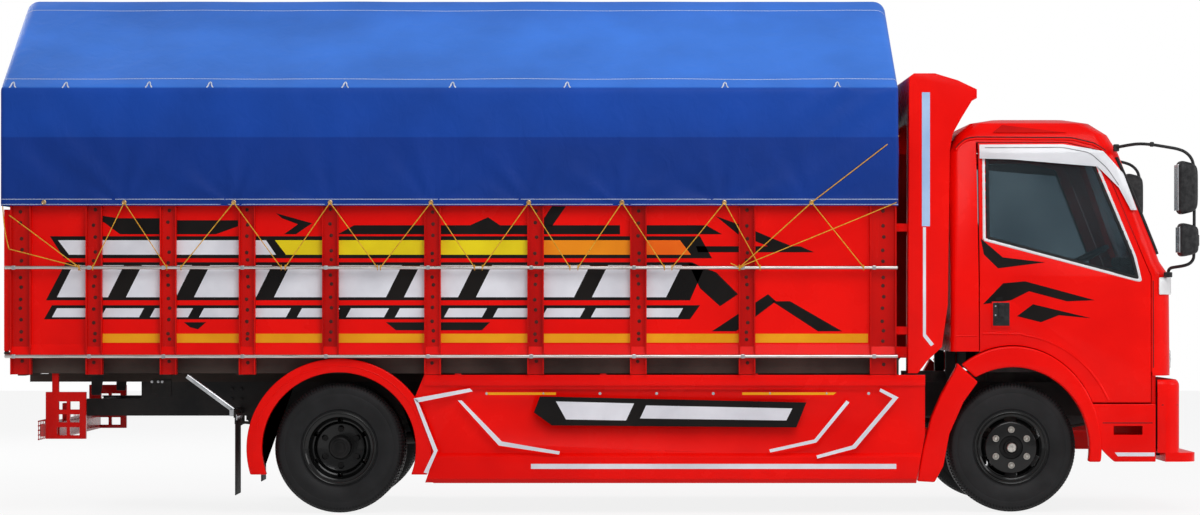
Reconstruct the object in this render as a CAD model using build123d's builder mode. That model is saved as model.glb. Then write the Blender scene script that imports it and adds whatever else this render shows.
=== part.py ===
from build123d import *
import os

# Cargo truck with a forward-control tilting cab, a high-sided steel body and a roped-down cover.
# Frame: millimetres, +X forward, +Y to the truck's left, +Z up, origin on the ground below the middle.
os.makedirs("parts", exist_ok=True)

# Axles and wheels
WHEELBASE = 4175
FRONT_AXLE_X = 2560
REAR_AXLE_X = FRONT_AXLE_X - WHEELBASE
TYRE_R = 402
TYRE_BEAD_R = 206
RIM_LIP_R = 230
RIM_LIP_T = 8
RIM_HALF_W = 88
RIM_T = 13
SPINDLE_R = 30
SPINDLE_FIT = 0.08
FRONT_WHEEL_Y = 840
REAR_DUAL_Y = 825
DUAL_HALF_GAP = 116
STUD_CIRCLE_R = 111
STUD_COUNT = 6

# Chassis rails and axles
RAIL_TOP = 800
RAIL_H = 216
RAIL_BOTTOM = RAIL_TOP - RAIL_H
RAIL_OUT = 425
RAIL_FLANGE = 70
RAIL_T = 7
RAIL_REAR = -3271
RAIL_FRONT = 3440
RAIL_STEP_X = -2916
RAIL_STEP_H = 108
KINGPIN_Y = 740
STEER_ARM_BACK = 150

# Cargo body
BED_REAR = -3645
BED_FRONT = 1834
DECK_TOP = 1000
DECK_T = 40
BEARER_BOTTOM = 850
WALL_OUT = 1055
WALL_T = 35
WALL_TOP = 2300
POST_DEPTH = 45
POST_T = 8
POST_W = 102
POST_OUT = WALL_OUT + POST_DEPTH
SILL_TOP = 1046
RUB_RAIL_R = 11
GATE_TOP = 1880
GATE_T = 40
GATE_GAP = 5

# Cover
COVER_T = 12
COVER_REAR = -3705
COVER_FRONT = 1846
HEM_Z = 1900
EAVE_Z = 2631
RIDGE_Z = 3250
RIDGE_HALF = 60
COVER_HALF_W = 1118
EAVE_HALF_W = 1100

# Cab
CAB_REAR = 2180
CAB_WALL = 50
CAB_HALF_W = 1002
BELT_Z = 1440
FLOOR_REAR_Z = 1000
FLOOR_FRONT_Z = 872
FLOOR_STEP_X = 2400
FLOOR_T = 40
TILT_X = 3548
TILT_Z = 760
DOOR_BOTTOM = 680
DOOR_REAR = 2352
DOOR_FRONT = 3423
DOOR_GAP = 5
DOOR_HINGE_X = 3408
DOOR_HINGE_Y = 1014
ARCH_OUT_A = 550
ARCH_OUT_B = 632
ARCH_IN_A = 475
ARCH_IN_B = 501
TUNNEL_HALF = 330
TUNNEL_TOP = 1130

SOFT_GAP = 0.3


def save(part, label):
    """Name one finished piece and write it."""
    part.label = label
    export_step(part, f"parts/{label}.step")


def mirrored(part):
    """The left-hand twin of a right-hand piece."""
    return mirror(part, about=Plane.XZ, mode=Mode.PRIVATE)


def save_pair(part, label):
    """Write a right-hand piece and its left-hand twin."""
    save(part, f"{label}_right")
    save(mirrored(part), f"{label}_left")


def save_sides(part, label):
    """Write a right-hand piece and its left-hand twin together as one node."""
    with BuildPart() as both:
        add(part)
        mirror(about=Plane.XZ)
    save(both.part, label)


def block(x0, x1, y0, y1, z0, z1, mode=Mode.ADD):
    """A box between two corners."""
    with Locations(((x0 + x1) / 2, (y0 + y1) / 2, (z0 + z1) / 2)):
        Box(x1 - x0, y1 - y0, z1 - z0, mode=mode)


def block_pair(x0, x1, y0, y1, z0, z1, mode=Mode.ADD):
    """The same box on both sides of the truck, y0 and y1 as distances from the middle."""
    block(x0, x1, y0, y1, z0, z1, mode=mode)
    block(x0, x1, -y1, -y0, z0, z1, mode=mode)


def side_slab(points, y0, y1, mode=Mode.ADD, corner=0):
    """An outline in (X, Z) made solid on the right side, from y0 to y1 outwards."""
    with BuildSketch(Plane.XZ.offset(y0)) as face:
        Polygon(*points, align=None)
        if corner:
            fillet(face.vertices(), corner)
    extrude(face.sketch, amount=y1 - y0, mode=mode)


def section_run(points, x0, x1, mode=Mode.ADD):
    """An outline in (Y, Z) made solid from x0 to x1."""
    with BuildSketch(Plane.YZ.offset(x0)) as face:
        Polygon(*points, align=None)
    extrude(face.sketch, amount=x1 - x0, mode=mode)


def arch_ring(centre_x, out_a, out_b, in_a, in_b, y0, y1, mode=Mode.ADD):
    """An elliptic ring round a wheel, on the right side."""
    with BuildSketch(Plane.XZ.offset(y0)) as face:
        with Locations((centre_x, TYRE_R)):
            Ellipse(out_a, out_b)
            Ellipse(in_a, in_b, mode=Mode.SUBTRACT)
    extrude(face.sketch, amount=y1 - y0, mode=mode)


def arch_plug(centre_x, a, b, y0, y1, mode=Mode.SUBTRACT):
    """The filled ellipse of a wheel arch, on the right side."""
    with BuildSketch(Plane.XZ.offset(y0)) as face:
        with Locations((centre_x, TYRE_R)):
            Ellipse(a, b)
    extrude(face.sketch, amount=y1 - y0, mode=mode)


def right_round(x, z, radius, y0, y1, mode=Mode.ADD):
    """A round bar across the truck, on the right side, from y0 to y1 outwards."""
    with BuildSketch(Plane.XZ.offset(y0)) as face:
        with Locations((x, z)):
            Circle(radius)
    extrude(face.sketch, amount=y1 - y0, mode=mode)


# Chassis: two channel rails, cross members, cab hinge lugs and rear cab supports
CROSS_MEMBERS_X = (-3180, -2350, -900, 100, 1100, 1900, 3300)
CROSS_MEMBER_W = 70
CROSS_MEMBER_H = 94
LUG_IN, LUG_OUT = 375, 405
LUG_R = 26
TILT_PIN_R = 15
TILT_PIN_END = 445
CAB_POST_X = 2200
CAB_POST_L = 60
RAIL_IN = RAIL_OUT - RAIL_FLANGE
TAIL_TOP = RAIL_BOTTOM + RAIL_STEP_H
with BuildPart() as frame:
    for side in (-1, 1):
        out, web, tip = side * RAIL_OUT, side * (RAIL_OUT - RAIL_T), side * RAIL_IN
        channel = [
            (out, RAIL_BOTTOM), (out, RAIL_TOP), (tip, RAIL_TOP), (tip, RAIL_TOP - RAIL_T),
            (web, RAIL_TOP - RAIL_T), (web, RAIL_BOTTOM + RAIL_T), (tip, RAIL_BOTTOM + RAIL_T),
            (tip, RAIL_BOTTOM),
        ]
        section_run(channel, RAIL_REAR, RAIL_FRONT)
    block(RAIL_REAR, RAIL_STEP_X, -RAIL_OUT, RAIL_OUT, TAIL_TOP, RAIL_TOP, mode=Mode.SUBTRACT)
    block_pair(RAIL_REAR, RAIL_STEP_X, RAIL_IN, RAIL_OUT, TAIL_TOP - RAIL_T, TAIL_TOP)
    block_pair(RAIL_FRONT - 40, RAIL_FRONT, RAIL_IN, RAIL_OUT - RAIL_T, RAIL_BOTTOM, RAIL_TOP)
    for side in (-1, 1):
        y0, y1 = sorted((side * LUG_IN, side * LUG_OUT))
        block(RAIL_FRONT - RAIL_T, TILT_X, y0, y1, TILT_Z - LUG_R, TILT_Z + LUG_R)
        with Locations((TILT_X, side * (LUG_IN + LUG_OUT) / 2, TILT_Z)):
            Cylinder(LUG_R, LUG_OUT - LUG_IN, rotation=(90, 0, 0))
        with Locations((TILT_X, side * (LUG_IN + TILT_PIN_END) / 2, TILT_Z)):
            Cylinder(TILT_PIN_R, TILT_PIN_END - LUG_IN, rotation=(90, 0, 0))
    block_pair(CAB_POST_X, CAB_POST_X + CAB_POST_L, RAIL_IN, RAIL_OUT, RAIL_TOP - RAIL_T, FLOOR_REAR_Z - SOFT_GAP)
save(frame.part, "chassis_frame")
with BuildPart() as ties:
    for x in CROSS_MEMBERS_X:
        top = (TAIL_TOP if x < RAIL_STEP_X else RAIL_TOP) - RAIL_T
        y = RAIL_OUT - RAIL_T
        block(x - CROSS_MEMBER_W / 2, x + CROSS_MEMBER_W / 2, -y, y, top - CROSS_MEMBER_H, top)
save(ties.part, "cross_members")

# Front axle: beam with spring pads and kingpin bosses
BEAM_HALF_T = 40
BEAM_BOTTOM, BEAM_TOP = 352, 412
PAD_IN, PAD_OUT = 352, 428
PAD_TOP = 452
BOSS_R = 33
BOSS_BOTTOM, BOSS_TOP = 346, 450
KINGPIN_R = 14
YOKE_GAP = 0.5
YOKE_T = 26
with BuildPart() as front_axle:
    y = KINGPIN_Y
    block(FRONT_AXLE_X - BEAM_HALF_T, FRONT_AXLE_X + BEAM_HALF_T, -y + BOSS_R, y - BOSS_R, BEAM_BOTTOM, BEAM_TOP)
    block_pair(FRONT_AXLE_X - 75, FRONT_AXLE_X + 75, PAD_IN, PAD_OUT, BEAM_TOP - 10, PAD_TOP)
    for side in (-1, 1):
        with Locations((FRONT_AXLE_X, side * (y - BOSS_R), (BEAM_BOTTOM + BEAM_TOP) / 2)):
            Box(54, 40, BEAM_TOP - BEAM_BOTTOM)
        with Locations((FRONT_AXLE_X, side * y, (BOSS_BOTTOM + BOSS_TOP) / 2)):
            Cylinder(BOSS_R, BOSS_TOP - BOSS_BOTTOM)
            Cylinder(KINGPIN_R, BOSS_TOP - BOSS_BOTTOM + 2 * YOKE_T + 8)
save(front_axle.part, "front_axle_beam")

# Steering knuckle: yoke over the boss, stub axle outwards, steering arm back
KNUCKLE_PLATE_Y = KINGPIN_Y + BOSS_R + 6
KNUCKLE_PLATE_T = 14
SPINDLE_END = 936
ARM_Z = BOSS_BOTTOM - YOKE_GAP - YOKE_T
ARM_T = 22
ARM_Y = 705
with BuildPart() as knuckle:
    for z0 in (BOSS_TOP + YOKE_GAP, BOSS_BOTTOM - YOKE_GAP - YOKE_T):
        with Locations((FRONT_AXLE_X, -KINGPIN_Y, z0 + YOKE_T / 2)):
            Cylinder(BOSS_R, YOKE_T)
        block(
            FRONT_AXLE_X - BOSS_R, FRONT_AXLE_X + BOSS_R, -KNUCKLE_PLATE_Y - KNUCKLE_PLATE_T, -KINGPIN_Y,
            z0, z0 + YOKE_T,
        )
    block(
        FRONT_AXLE_X - BOSS_R, FRONT_AXLE_X + BOSS_R, -KNUCKLE_PLATE_Y - KNUCKLE_PLATE_T, -KNUCKLE_PLATE_Y,
        ARM_Z, BOSS_TOP + YOKE_GAP + YOKE_T,
    )
    right_round(FRONT_AXLE_X, TYRE_R, SPINDLE_R, KNUCKLE_PLATE_Y, SPINDLE_END)
    with BuildSketch(Plane.XY.offset(ARM_Z)):
        Polygon(
            (FRONT_AXLE_X - 16, -KINGPIN_Y - 14), (FRONT_AXLE_X - 16, -KINGPIN_Y + 24),
            (FRONT_AXLE_X - STEER_ARM_BACK - 14, -ARM_Y + 12), (FRONT_AXLE_X - STEER_ARM_BACK - 14, -ARM_Y - 16),
            align=None,
        )
    extrude(amount=ARM_T)
    with Locations((FRONT_AXLE_X, -KINGPIN_Y, (BOSS_BOTTOM + BOSS_TOP) / 2)):
        Cylinder(KINGPIN_R + SPINDLE_FIT, BOSS_TOP - BOSS_BOTTOM + 120, mode=Mode.SUBTRACT)
save_pair(knuckle.part, "steering_knuckle")

# Tie rod behind the axle, its ends just below the steering arms
TIE_ROD_R = 13
TIE_END_R, TIE_END_H = 20, 32
TIE_ROD_Z = ARM_Z - 0.6 - TIE_END_H / 2
with BuildPart() as tie_rod:
    with Locations((FRONT_AXLE_X - STEER_ARM_BACK, 0, TIE_ROD_Z)):
        Cylinder(TIE_ROD_R, 2 * ARM_Y, rotation=(90, 0, 0))
    for side in (-1, 1):
        with Locations((FRONT_AXLE_X - STEER_ARM_BACK, side * ARM_Y, TIE_ROD_Z)):
            Cylinder(TIE_END_R, TIE_END_H)
save(tie_rod.part, "tie_rod")

# Leaf springs: stacked curved leaves drawn as one pack with eyes and hanger brackets
LEAF_W = 70
SPRING_Y = (RAIL_IN + RAIL_OUT) / 2


def leaf_spring(axle_x, half_l, seat_z, eye_z, thick, hanger_top):
    """One spring on the right side: a bowed pack with an eye and a bracket at each end."""
    y0 = SPRING_Y - LEAF_W / 2
    bow = thick / 3
    with BuildSketch(Plane.XZ.offset(y0)) as side:
        with BuildLine():
            ThreePointArc((axle_x - half_l, eye_z), (axle_x, seat_z + thick - bow), (axle_x + half_l, eye_z))
            Line((axle_x + half_l, eye_z), (axle_x + half_l, eye_z - 14))
            Line((axle_x + half_l, eye_z - 14), (axle_x + half_l * 0.25, seat_z))
            Line((axle_x + half_l * 0.25, seat_z), (axle_x - half_l * 0.25, seat_z))
            Line((axle_x - half_l * 0.25, seat_z), (axle_x - half_l, eye_z - 14))
            Line((axle_x - half_l, eye_z - 14), (axle_x - half_l, eye_z))
        make_face()
    extrude(side.sketch, amount=LEAF_W)
    for end in (-1, 1):
        x = axle_x + end * half_l
        right_round(x, eye_z - 7, 24, y0, y0 + LEAF_W)
        block(x - 30, x + 30, -y0 - LEAF_W + 8, -y0 - 8, eye_z - 20, hanger_top)


FRONT_LEAF_HALF, FRONT_LEAF_T = 590, 46
REAR_LEAF_HALF, REAR_LEAF_T = 680, 64
REAR_SEAT_Z = TYRE_R + 82
EYE_Z = RAIL_BOTTOM - 34
with BuildPart() as springs:
    leaf_spring(FRONT_AXLE_X, FRONT_LEAF_HALF, PAD_TOP, EYE_Z, FRONT_LEAF_T, RAIL_BOTTOM)
    leaf_spring(REAR_AXLE_X, REAR_LEAF_HALF, REAR_SEAT_Z, EYE_Z, REAR_LEAF_T, RAIL_BOTTOM)
save_sides(springs.part, "leaf_springs")

# Rear axle: tubes with a bowl in the middle, spring seats and stub ends
AXLE_TUBE_R = 48
BOWL_R, BOWL_W = 190, 150
REAR_SPINDLE_END = 900
TUBE_END = 690
with BuildPart() as rear_axle:
    with Locations((REAR_AXLE_X, 0, TYRE_R)):
        Cylinder(AXLE_TUBE_R, 2 * TUBE_END, rotation=(90, 0, 0))
        Cylinder(BOWL_R, BOWL_W, rotation=(90, 0, 0))
        Cylinder(SPINDLE_R, 2 * REAR_SPINDLE_END, rotation=(90, 0, 0))
    block_pair(REAR_AXLE_X - 70, REAR_AXLE_X + 70, PAD_IN, PAD_OUT, TYRE_R + 30, REAR_SEAT_Z)
    with Locations((REAR_AXLE_X + BOWL_R, 0, TYRE_R + 20)):
        Cylinder(52, 120, rotation=(0, 90, 0))
save(rear_axle.part, "rear_axle_housing")

# Engine with its gearbox as one plain block, and the drive shaft back to the axle
ENGINE_X0, ENGINE_X1 = 2480, 3180
ENGINE_HALF_W = 265
ENGINE_BOTTOM, ENGINE_TOP = 520, 1080
GEARBOX_X0 = 1960
SHAFT_R = 38
with BuildPart() as engine:
    block(ENGINE_X0, ENGINE_X1, -ENGINE_HALF_W, ENGINE_HALF_W, ENGINE_BOTTOM, ENGINE_TOP)
    block(GEARBOX_X0, ENGINE_X0, -150, 150, 560, 860)
    block_pair(2780, 2860, ENGINE_HALF_W, RAIL_IN, RAIL_BOTTOM, RAIL_BOTTOM + 60)
    block_pair(2560, 2640, ENGINE_HALF_W, RAIL_IN, RAIL_BOTTOM, RAIL_BOTTOM + 60)
save(engine.part, "engine_block")
FLANGE_R, FLANGE_L = 58, 40
SHAFT_FRONT = (GEARBOX_X0 - FLANGE_L / 2, 0, 635)
SHAFT_REAR = (REAR_AXLE_X + BOWL_R + 60 + FLANGE_L / 2, 0, TYRE_R + 20)
with BuildPart() as propshaft:
    with BuildLine():
        Line(SHAFT_FRONT, SHAFT_REAR)
    with BuildSketch(Plane(SHAFT_FRONT, z_dir=Vector(*SHAFT_REAR) - Vector(*SHAFT_FRONT))):
        Circle(SHAFT_R)
    sweep()
    with Locations(SHAFT_FRONT, SHAFT_REAR):
        Cylinder(FLANGE_R, FLANGE_L, rotation=(0, 90, 0))
save(propshaft.part, "drive_shaft")

# Fuel tank, battery box and silencer hung outside and between the rails
TANK_GAP = 30
with BuildPart() as tank:
    with BuildSketch(Plane.YZ.offset(300)):
        with Locations((-(RAIL_OUT + TANK_GAP + 170), 560)):
            RectangleRounded(340, 360, 60)
    extrude(amount=620)
    for x in (400, 800):
        block(x, x + 40, -RAIL_OUT - TANK_GAP - 10, -RAIL_OUT, RAIL_BOTTOM + 20, RAIL_TOP - 30)
save(tank.part, "fuel_tank")
with BuildPart() as battery:
    block(700, 1150, RAIL_OUT + TANK_GAP, RAIL_OUT + 340, 420, 720)
    for x in (760, 1050):
        block(x, x + 40, RAIL_OUT, RAIL_OUT + TANK_GAP + 10, RAIL_BOTTOM + 20, 700)
save(battery.part, "battery_box")
SILENCER_R = 95
with BuildPart() as silencer:
    with Locations((100, 570, 520)):
        Cylinder(SILENCER_R, 760, rotation=(0, 90, 0))
    with Locations((-700, 570, 520)):
        Cylinder(28, 900, rotation=(0, 90, 0))
    for x in (-150, 250):
        block(x, x + 40, RAIL_OUT, 570, RAIL_BOTTOM + 20, RAIL_BOTTOM + 60)
save(silencer.part, "silencer")

# Cargo body floor: deck, cross bearers, long bearers and the sill rails along both sides
BEARER_W = 46
LONG_BEARER_W = 60
SIDE_MEMBER_IN = 985
BEARERS_X = [BED_REAR + 30 + n * 452 for n in range(13)]
INNER_HALF = WALL_OUT - WALL_T
with BuildPart() as bed:
    block(BED_REAR, BED_FRONT, -INNER_HALF, INNER_HALF, DECK_TOP - DECK_T, DECK_TOP)
    for x in BEARERS_X:
        block(x, x + BEARER_W, -SIDE_MEMBER_IN, SIDE_MEMBER_IN, BEARER_BOTTOM, DECK_TOP - DECK_T)
    block_pair(BED_REAR + 20, BED_FRONT, RAIL_OUT - LONG_BEARER_W, RAIL_OUT, RAIL_TOP, BEARER_BOTTOM)
    block_pair(BED_REAR, BED_FRONT, SIDE_MEMBER_IN, INNER_HALF, BEARER_BOTTOM + 15, DECK_TOP - DECK_T)

# Hinge rod for the tailgate, carried by lugs on the rear edge of the floor
GATE_REAR_X = BED_REAR - GATE_GAP - GATE_T
GATE_BARREL_R = 9
GATE_ROD_R = 5
GATE_HINGE_X = GATE_REAR_X + GATE_BARREL_R
GATE_BOTTOM = DECK_TOP + GATE_GAP
GATE_HINGE_Z = GATE_BOTTOM - 14
GATE_HALF = WALL_OUT - GATE_GAP
GATE_RIBS_Y = (-1000, -500, 0, 500, 1000)
BARREL_L = 60
GATE_LUG_L = 24
LUG_STEP_Y = BARREL_L / 2 + 2 + GATE_LUG_L / 2
with BuildPart(mode=Mode.PRIVATE) as gate_lugs:
    for y in GATE_RIBS_Y:
        for side in (-1, 1):
            lug_y = y + side * LUG_STEP_Y
            y0, y1 = lug_y - GATE_LUG_L / 2, lug_y + GATE_LUG_L / 2
            with Locations((GATE_HINGE_X, lug_y, GATE_HINGE_Z)):
                Cylinder(GATE_BARREL_R, GATE_LUG_L, rotation=(90, 0, 0))
            block(GATE_HINGE_X, BED_REAR, y0, y1, GATE_HINGE_Z - GATE_BARREL_R, GATE_HINGE_Z + 6)
        with Locations((GATE_HINGE_X, y, GATE_HINGE_Z)):
            Cylinder(GATE_ROD_R, 2 * LUG_STEP_Y, rotation=(90, 0, 0))
with BuildPart() as bed_whole:
    add(bed.part)
    add(gate_lugs.part)
save(bed_whole.part, "bed_floor")

# Side walls with a sloped sill at the foot
SILL_BOTTOM = 962
SILL_OUT = WALL_OUT + 40
with BuildPart() as wall:
    profile = [
        (-INNER_HALF, SILL_BOTTOM), (-INNER_HALF, WALL_TOP), (-WALL_OUT, WALL_TOP), (-WALL_OUT, SILL_TOP),
        (-SILL_OUT, SILL_BOTTOM + 14), (-SILL_OUT, SILL_BOTTOM),
    ]
    section_run(profile, BED_REAR, BED_FRONT)
save_sides(wall.part, "side_walls")

# Channel posts, open outwards, with the front one wider; columns are rear X and width
POST_BOTTOM = 859
POSTS = (
    (BED_REAR, 127), (-3179, POST_W), (-2720, POST_W), (-2232, POST_W), (-1717, POST_W),
    (-1086, POST_W), (-449, POST_W), (186, POST_W), (858, POST_W), (1669, 163),
)
ARCH_POST_X = -1717
with BuildPart() as posts:
    for x, width in POSTS:
        block(x, x + width, -POST_OUT, -WALL_OUT, POST_BOTTOM, WALL_TOP)
        block(x + POST_T, x + width - POST_T, -POST_OUT, -WALL_OUT - POST_T, POST_BOTTOM, WALL_TOP, mode=Mode.SUBTRACT)
    sill = [
        (-INNER_HALF, SILL_BOTTOM), (-WALL_OUT, SILL_TOP), (-SILL_OUT, SILL_BOTTOM + 14), (-SILL_OUT, SILL_BOTTOM),
    ]
    section_run(sill, BED_REAR, BED_FRONT, mode=Mode.SUBTRACT)
    for x, width in POSTS:
        block(x, x + width, -WALL_OUT, -INNER_HALF, POST_BOTTOM, SILL_BOTTOM)
    x0, x1 = ARCH_POST_X - 1, ARCH_POST_X + POST_W + 1
    block(x0, x1, -POST_OUT, -INNER_HALF, POST_BOTTOM, SILL_BOTTOM, mode=Mode.SUBTRACT)
save_sides(posts.part, "wall_posts")

# Two round rails outside the posts
RUB_RAILS_Z = (SILL_BOTTOM + 10, 1520)
RUB_RAIL_REAR, RUB_RAIL_FRONT = -3674, 1836
RUB_RAIL_Y = POST_OUT + RUB_RAIL_R
with BuildPart() as rub_rails:
    for z in RUB_RAILS_Z:
        for side in (-1, 1):
            with Locations(((RUB_RAIL_REAR + RUB_RAIL_FRONT) / 2, side * RUB_RAIL_Y, z)):
                Cylinder(RUB_RAIL_R, RUB_RAIL_FRONT - RUB_RAIL_REAR, rotation=(0, 90, 0))
save(rub_rails.part, "rub_rails")

# Headboard across the front of the load space
HEAD_T = 40
HEAD_RIBS_Y = (-700, -350, 0, 350, 700)
with BuildPart() as headboard:
    block(BED_FRONT - HEAD_T, BED_FRONT, -INNER_HALF, INNER_HALF, DECK_TOP, WALL_TOP)
    for y in HEAD_RIBS_Y:
        block(BED_FRONT - HEAD_T - 30, BED_FRONT - HEAD_T, y - 40, y + 40, DECK_TOP, WALL_TOP)
save(headboard.part, "headboard")

# Tailgate, hinged along its foot
GATE_SKIN = 14
with BuildPart() as tailgate:
    block(GATE_REAR_X, GATE_REAR_X + GATE_T, -GATE_HALF, GATE_HALF, GATE_BOTTOM, GATE_TOP)
    for y0, y1 in zip(GATE_RIBS_Y[:-1], GATE_RIBS_Y[1:]):
        for z0, z1 in ((GATE_BOTTOM + 60, 1400), (1460, GATE_TOP - 60)):
            block(
                GATE_REAR_X, GATE_REAR_X + GATE_T - GATE_SKIN, y0 + 40, y1 - 40, z0, z1, mode=Mode.SUBTRACT,
            )
    for y in GATE_RIBS_Y:
        with Locations((GATE_HINGE_X, y, GATE_HINGE_Z)):
            Cylinder(GATE_BARREL_R, BARREL_L, rotation=(90, 0, 0))
        block(
            GATE_REAR_X, GATE_REAR_X + 2 * GATE_BARREL_R, y - BARREL_L / 2, y + BARREL_L / 2,
            GATE_HINGE_Z, GATE_BOTTOM,
        )
        with Locations((GATE_HINGE_X, y, GATE_HINGE_Z)):
            Cylinder(GATE_ROD_R + SPINDLE_FIT, BARREL_L + 10, rotation=(90, 0, 0), mode=Mode.SUBTRACT)
save(tailgate.part, "tailgate")

# Frame under the cover: ridge tube, eave tubes and bows standing on the walls
TUBE_R = 16
BOWS_X = (-3600, -2560, -1520, -480, 560, 1600)
BOW_Y = WALL_OUT - WALL_T / 2
COVER_IN = COVER_HALF_W - COVER_T
ROOF_FALL = RIDGE_Z - EAVE_Z
with BuildPart() as hoops:
    for x in BOWS_X:
        top_z = RIDGE_Z - 60
        eave_z = EAVE_Z - 60
        with BuildLine():
            Polyline((x, -BOW_Y, WALL_TOP), (x, -BOW_Y, eave_z), (x, 0, top_z), (x, BOW_Y, eave_z), (x, BOW_Y, WALL_TOP))
        with BuildSketch(Plane((x, -BOW_Y, WALL_TOP), z_dir=(0, 0, 1))):
            Circle(TUBE_R)
        sweep(transition=Transition.RIGHT)
    for y, z in ((-BOW_Y, EAVE_Z - 60), (0, RIDGE_Z - 60), (BOW_Y, EAVE_Z - 60)):
        with Locations(((BOWS_X[0] + BOWS_X[-1]) / 2, y, z)):
            Cylinder(TUBE_R * 0.8, BOWS_X[-1] - BOWS_X[0], rotation=(0, 90, 0))
save(hoops.part, "cover_frame")

# Cover: closed at both ends, open below
with BuildPart() as cover:
    outer = [
        (-COVER_HALF_W, HEM_Z), (-COVER_HALF_W, EAVE_Z), (-RIDGE_HALF, RIDGE_Z), (RIDGE_HALF, RIDGE_Z),
        (COVER_HALF_W, EAVE_Z), (COVER_HALF_W, HEM_Z),
    ]
    section_run(outer, COVER_REAR, COVER_FRONT)
    slope_t = COVER_T * 1.15
    inner = [
        (-COVER_IN, HEM_Z), (-COVER_IN, EAVE_Z - 6), (-RIDGE_HALF, RIDGE_Z - slope_t),
        (RIDGE_HALF, RIDGE_Z - slope_t), (COVER_IN, EAVE_Z - 6), (COVER_IN, HEM_Z),
    ]
    section_run(inner, COVER_REAR + COVER_T, COVER_FRONT - COVER_T + SOFT_GAP, mode=Mode.SUBTRACT)
save(cover.part, "tarpaulin")

# Wind guard behind the cab: two hollow pillars joined by a hood, open in the middle
GUARD_HALF = 1050
GUARD_T = 45
PILLAR_W = 160
GUARD_SIDE = (
    (1907, 866), (1914, 2699), (1944, 2724), (2074, 2724), (2216, 2681), (2334, 2625), (2334, 2569),
    (2309, 2563), (2240, 2450), (2185, 2352), (2166, 2247), (2154, 1294), (2117, 1028), (2030, 947),
    (1968, 866),
)
BRACKETS_Z = (1130, 1770)
with BuildPart() as guard:
    side_slab(GUARD_SIDE, -GUARD_HALF, GUARD_HALF)
    fillet(guard.edges().filter_by(Axis.Y).sort_by(Axis.Z)[-3:], 12)
    block(1800, 2400, -GUARD_HALF + PILLAR_W, GUARD_HALF - PILLAR_W, 800, 2420, mode=Mode.SUBTRACT)
    y0, y1 = GUARD_HALF - PILLAR_W + GUARD_T, GUARD_HALF - GUARD_T
    block_pair(1907 + GUARD_T, 2400, y0, y1, 1100, 2420, mode=Mode.SUBTRACT)
    with BuildSketch(Plane.XZ.offset(-GUARD_HALF + GUARD_T)):
        Polygon((1960, 2300), (1960, 2670), (2100, 2675), (2290, 2600), (2200, 2480), (2130, 2300), align=None)
    extrude(amount=2 * (GUARD_HALF - GUARD_T), mode=Mode.SUBTRACT)
    for z in BRACKETS_Z:
        block_pair(BED_FRONT, 1907 + 10, GUARD_HALF - 120, GUARD_HALF - 70, z - 25, z + 25)
    block_pair(BED_FRONT, 1968, INNER_HALF - 100, INNER_HALF - 60, DECK_TOP - DECK_T, 1030)
save(guard.part, "cab_rear_fairing")

# Rear wheel fenders: half rings over the twin wheels with stays up to the bearers
FENDER_OUT_A, FENDER_OUT_B = 572, 556
FENDER_IN_A, FENDER_IN_B = 476, 470
FENDER_SHELL_R, FENDER_T = 530, 14
FENDER_Y0, BAND_IN_Y, BAND_OUT_Y = 690, 1024, 1085
FENDER_FOOT = 240
with BuildPart() as fender:
    shell_in = FENDER_SHELL_R - FENDER_T
    arch_ring(REAR_AXLE_X, FENDER_SHELL_R, FENDER_SHELL_R, shell_in, shell_in, FENDER_Y0, BAND_IN_Y)
    block(REAR_AXLE_X - 700, REAR_AXLE_X + 700, -BAND_IN_Y, -FENDER_Y0, BEARER_BOTTOM, 1000, mode=Mode.SUBTRACT)
    arch_ring(REAR_AXLE_X, FENDER_OUT_A, FENDER_OUT_B, FENDER_IN_A, FENDER_IN_B, BAND_IN_Y, BAND_OUT_Y)
    block(REAR_AXLE_X - 700, REAR_AXLE_X + 700, -BAND_OUT_Y, -FENDER_Y0, -200, FENDER_FOOT, mode=Mode.SUBTRACT)
save_sides(fender.part, "rear_fenders")

# Side skirts between the axles
SKIRT_X0, SKIRT_X1 = -1089, 2012
SKIRT_OUT, SKIRT_T = 1050, 40
SKIRT_TOP = POST_BOTTOM - 3
SKIRT_OUTLINE = (
    (-1089, SKIRT_TOP), (2012, SKIRT_TOP), (2012, 480), (1996, 396), (1958, 186), (-1030, 186),
    (-1100, 240), (-1151, 560), (-1151, 706),
)
SKIRT_PANEL = ((-792, 768), (1733, 764), (1826, 715), (1566, 415), (1343, 347), (-619, 427), (-867, 700))
PANEL_DEPTH = 18
SILL_BULGE = 28
SILL_BAND = ((-1100, 190), (1955, 190), (1986, 372), (-1100, 372))
SKIRT_HANGERS_X = (-900, 0, 940, 1800)
with BuildPart() as skirt:
    side_slab(SKIRT_OUTLINE, SKIRT_OUT - SKIRT_T, SKIRT_OUT)
    side_slab(SILL_BAND, SKIRT_OUT - SKIRT_T, SKIRT_OUT + SILL_BULGE)
    chamfer(skirt.edges().filter_by(Axis.X).group_by(Axis.Y)[0], SILL_BULGE - 4)
    side_slab(((-1089, 790), (2012, 790), (2012, SKIRT_TOP), (-1089, SKIRT_TOP)), SKIRT_OUT, SKIRT_OUT + 16)
    side_slab(SKIRT_PANEL, SKIRT_OUT - PANEL_DEPTH, SKIRT_OUT + 1, mode=Mode.SUBTRACT)
    for x in SKIRT_HANGERS_X:
        block(x, x + 40, -SKIRT_OUT + SKIRT_T - 5, -SIDE_MEMBER_IN - 5, 800, BEARER_BOTTOM + 15)
        block(x, x + 40, -SKIRT_OUT + SKIRT_T, -RAIL_OUT, RAIL_TOP - 55, RAIL_TOP - 15)
    arch_plug(REAR_AXLE_X, FENDER_OUT_A + 3, FENDER_OUT_B + 3, 400, SKIRT_OUT + 60)
save_sides(skirt.part, "side_skirts")

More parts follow.
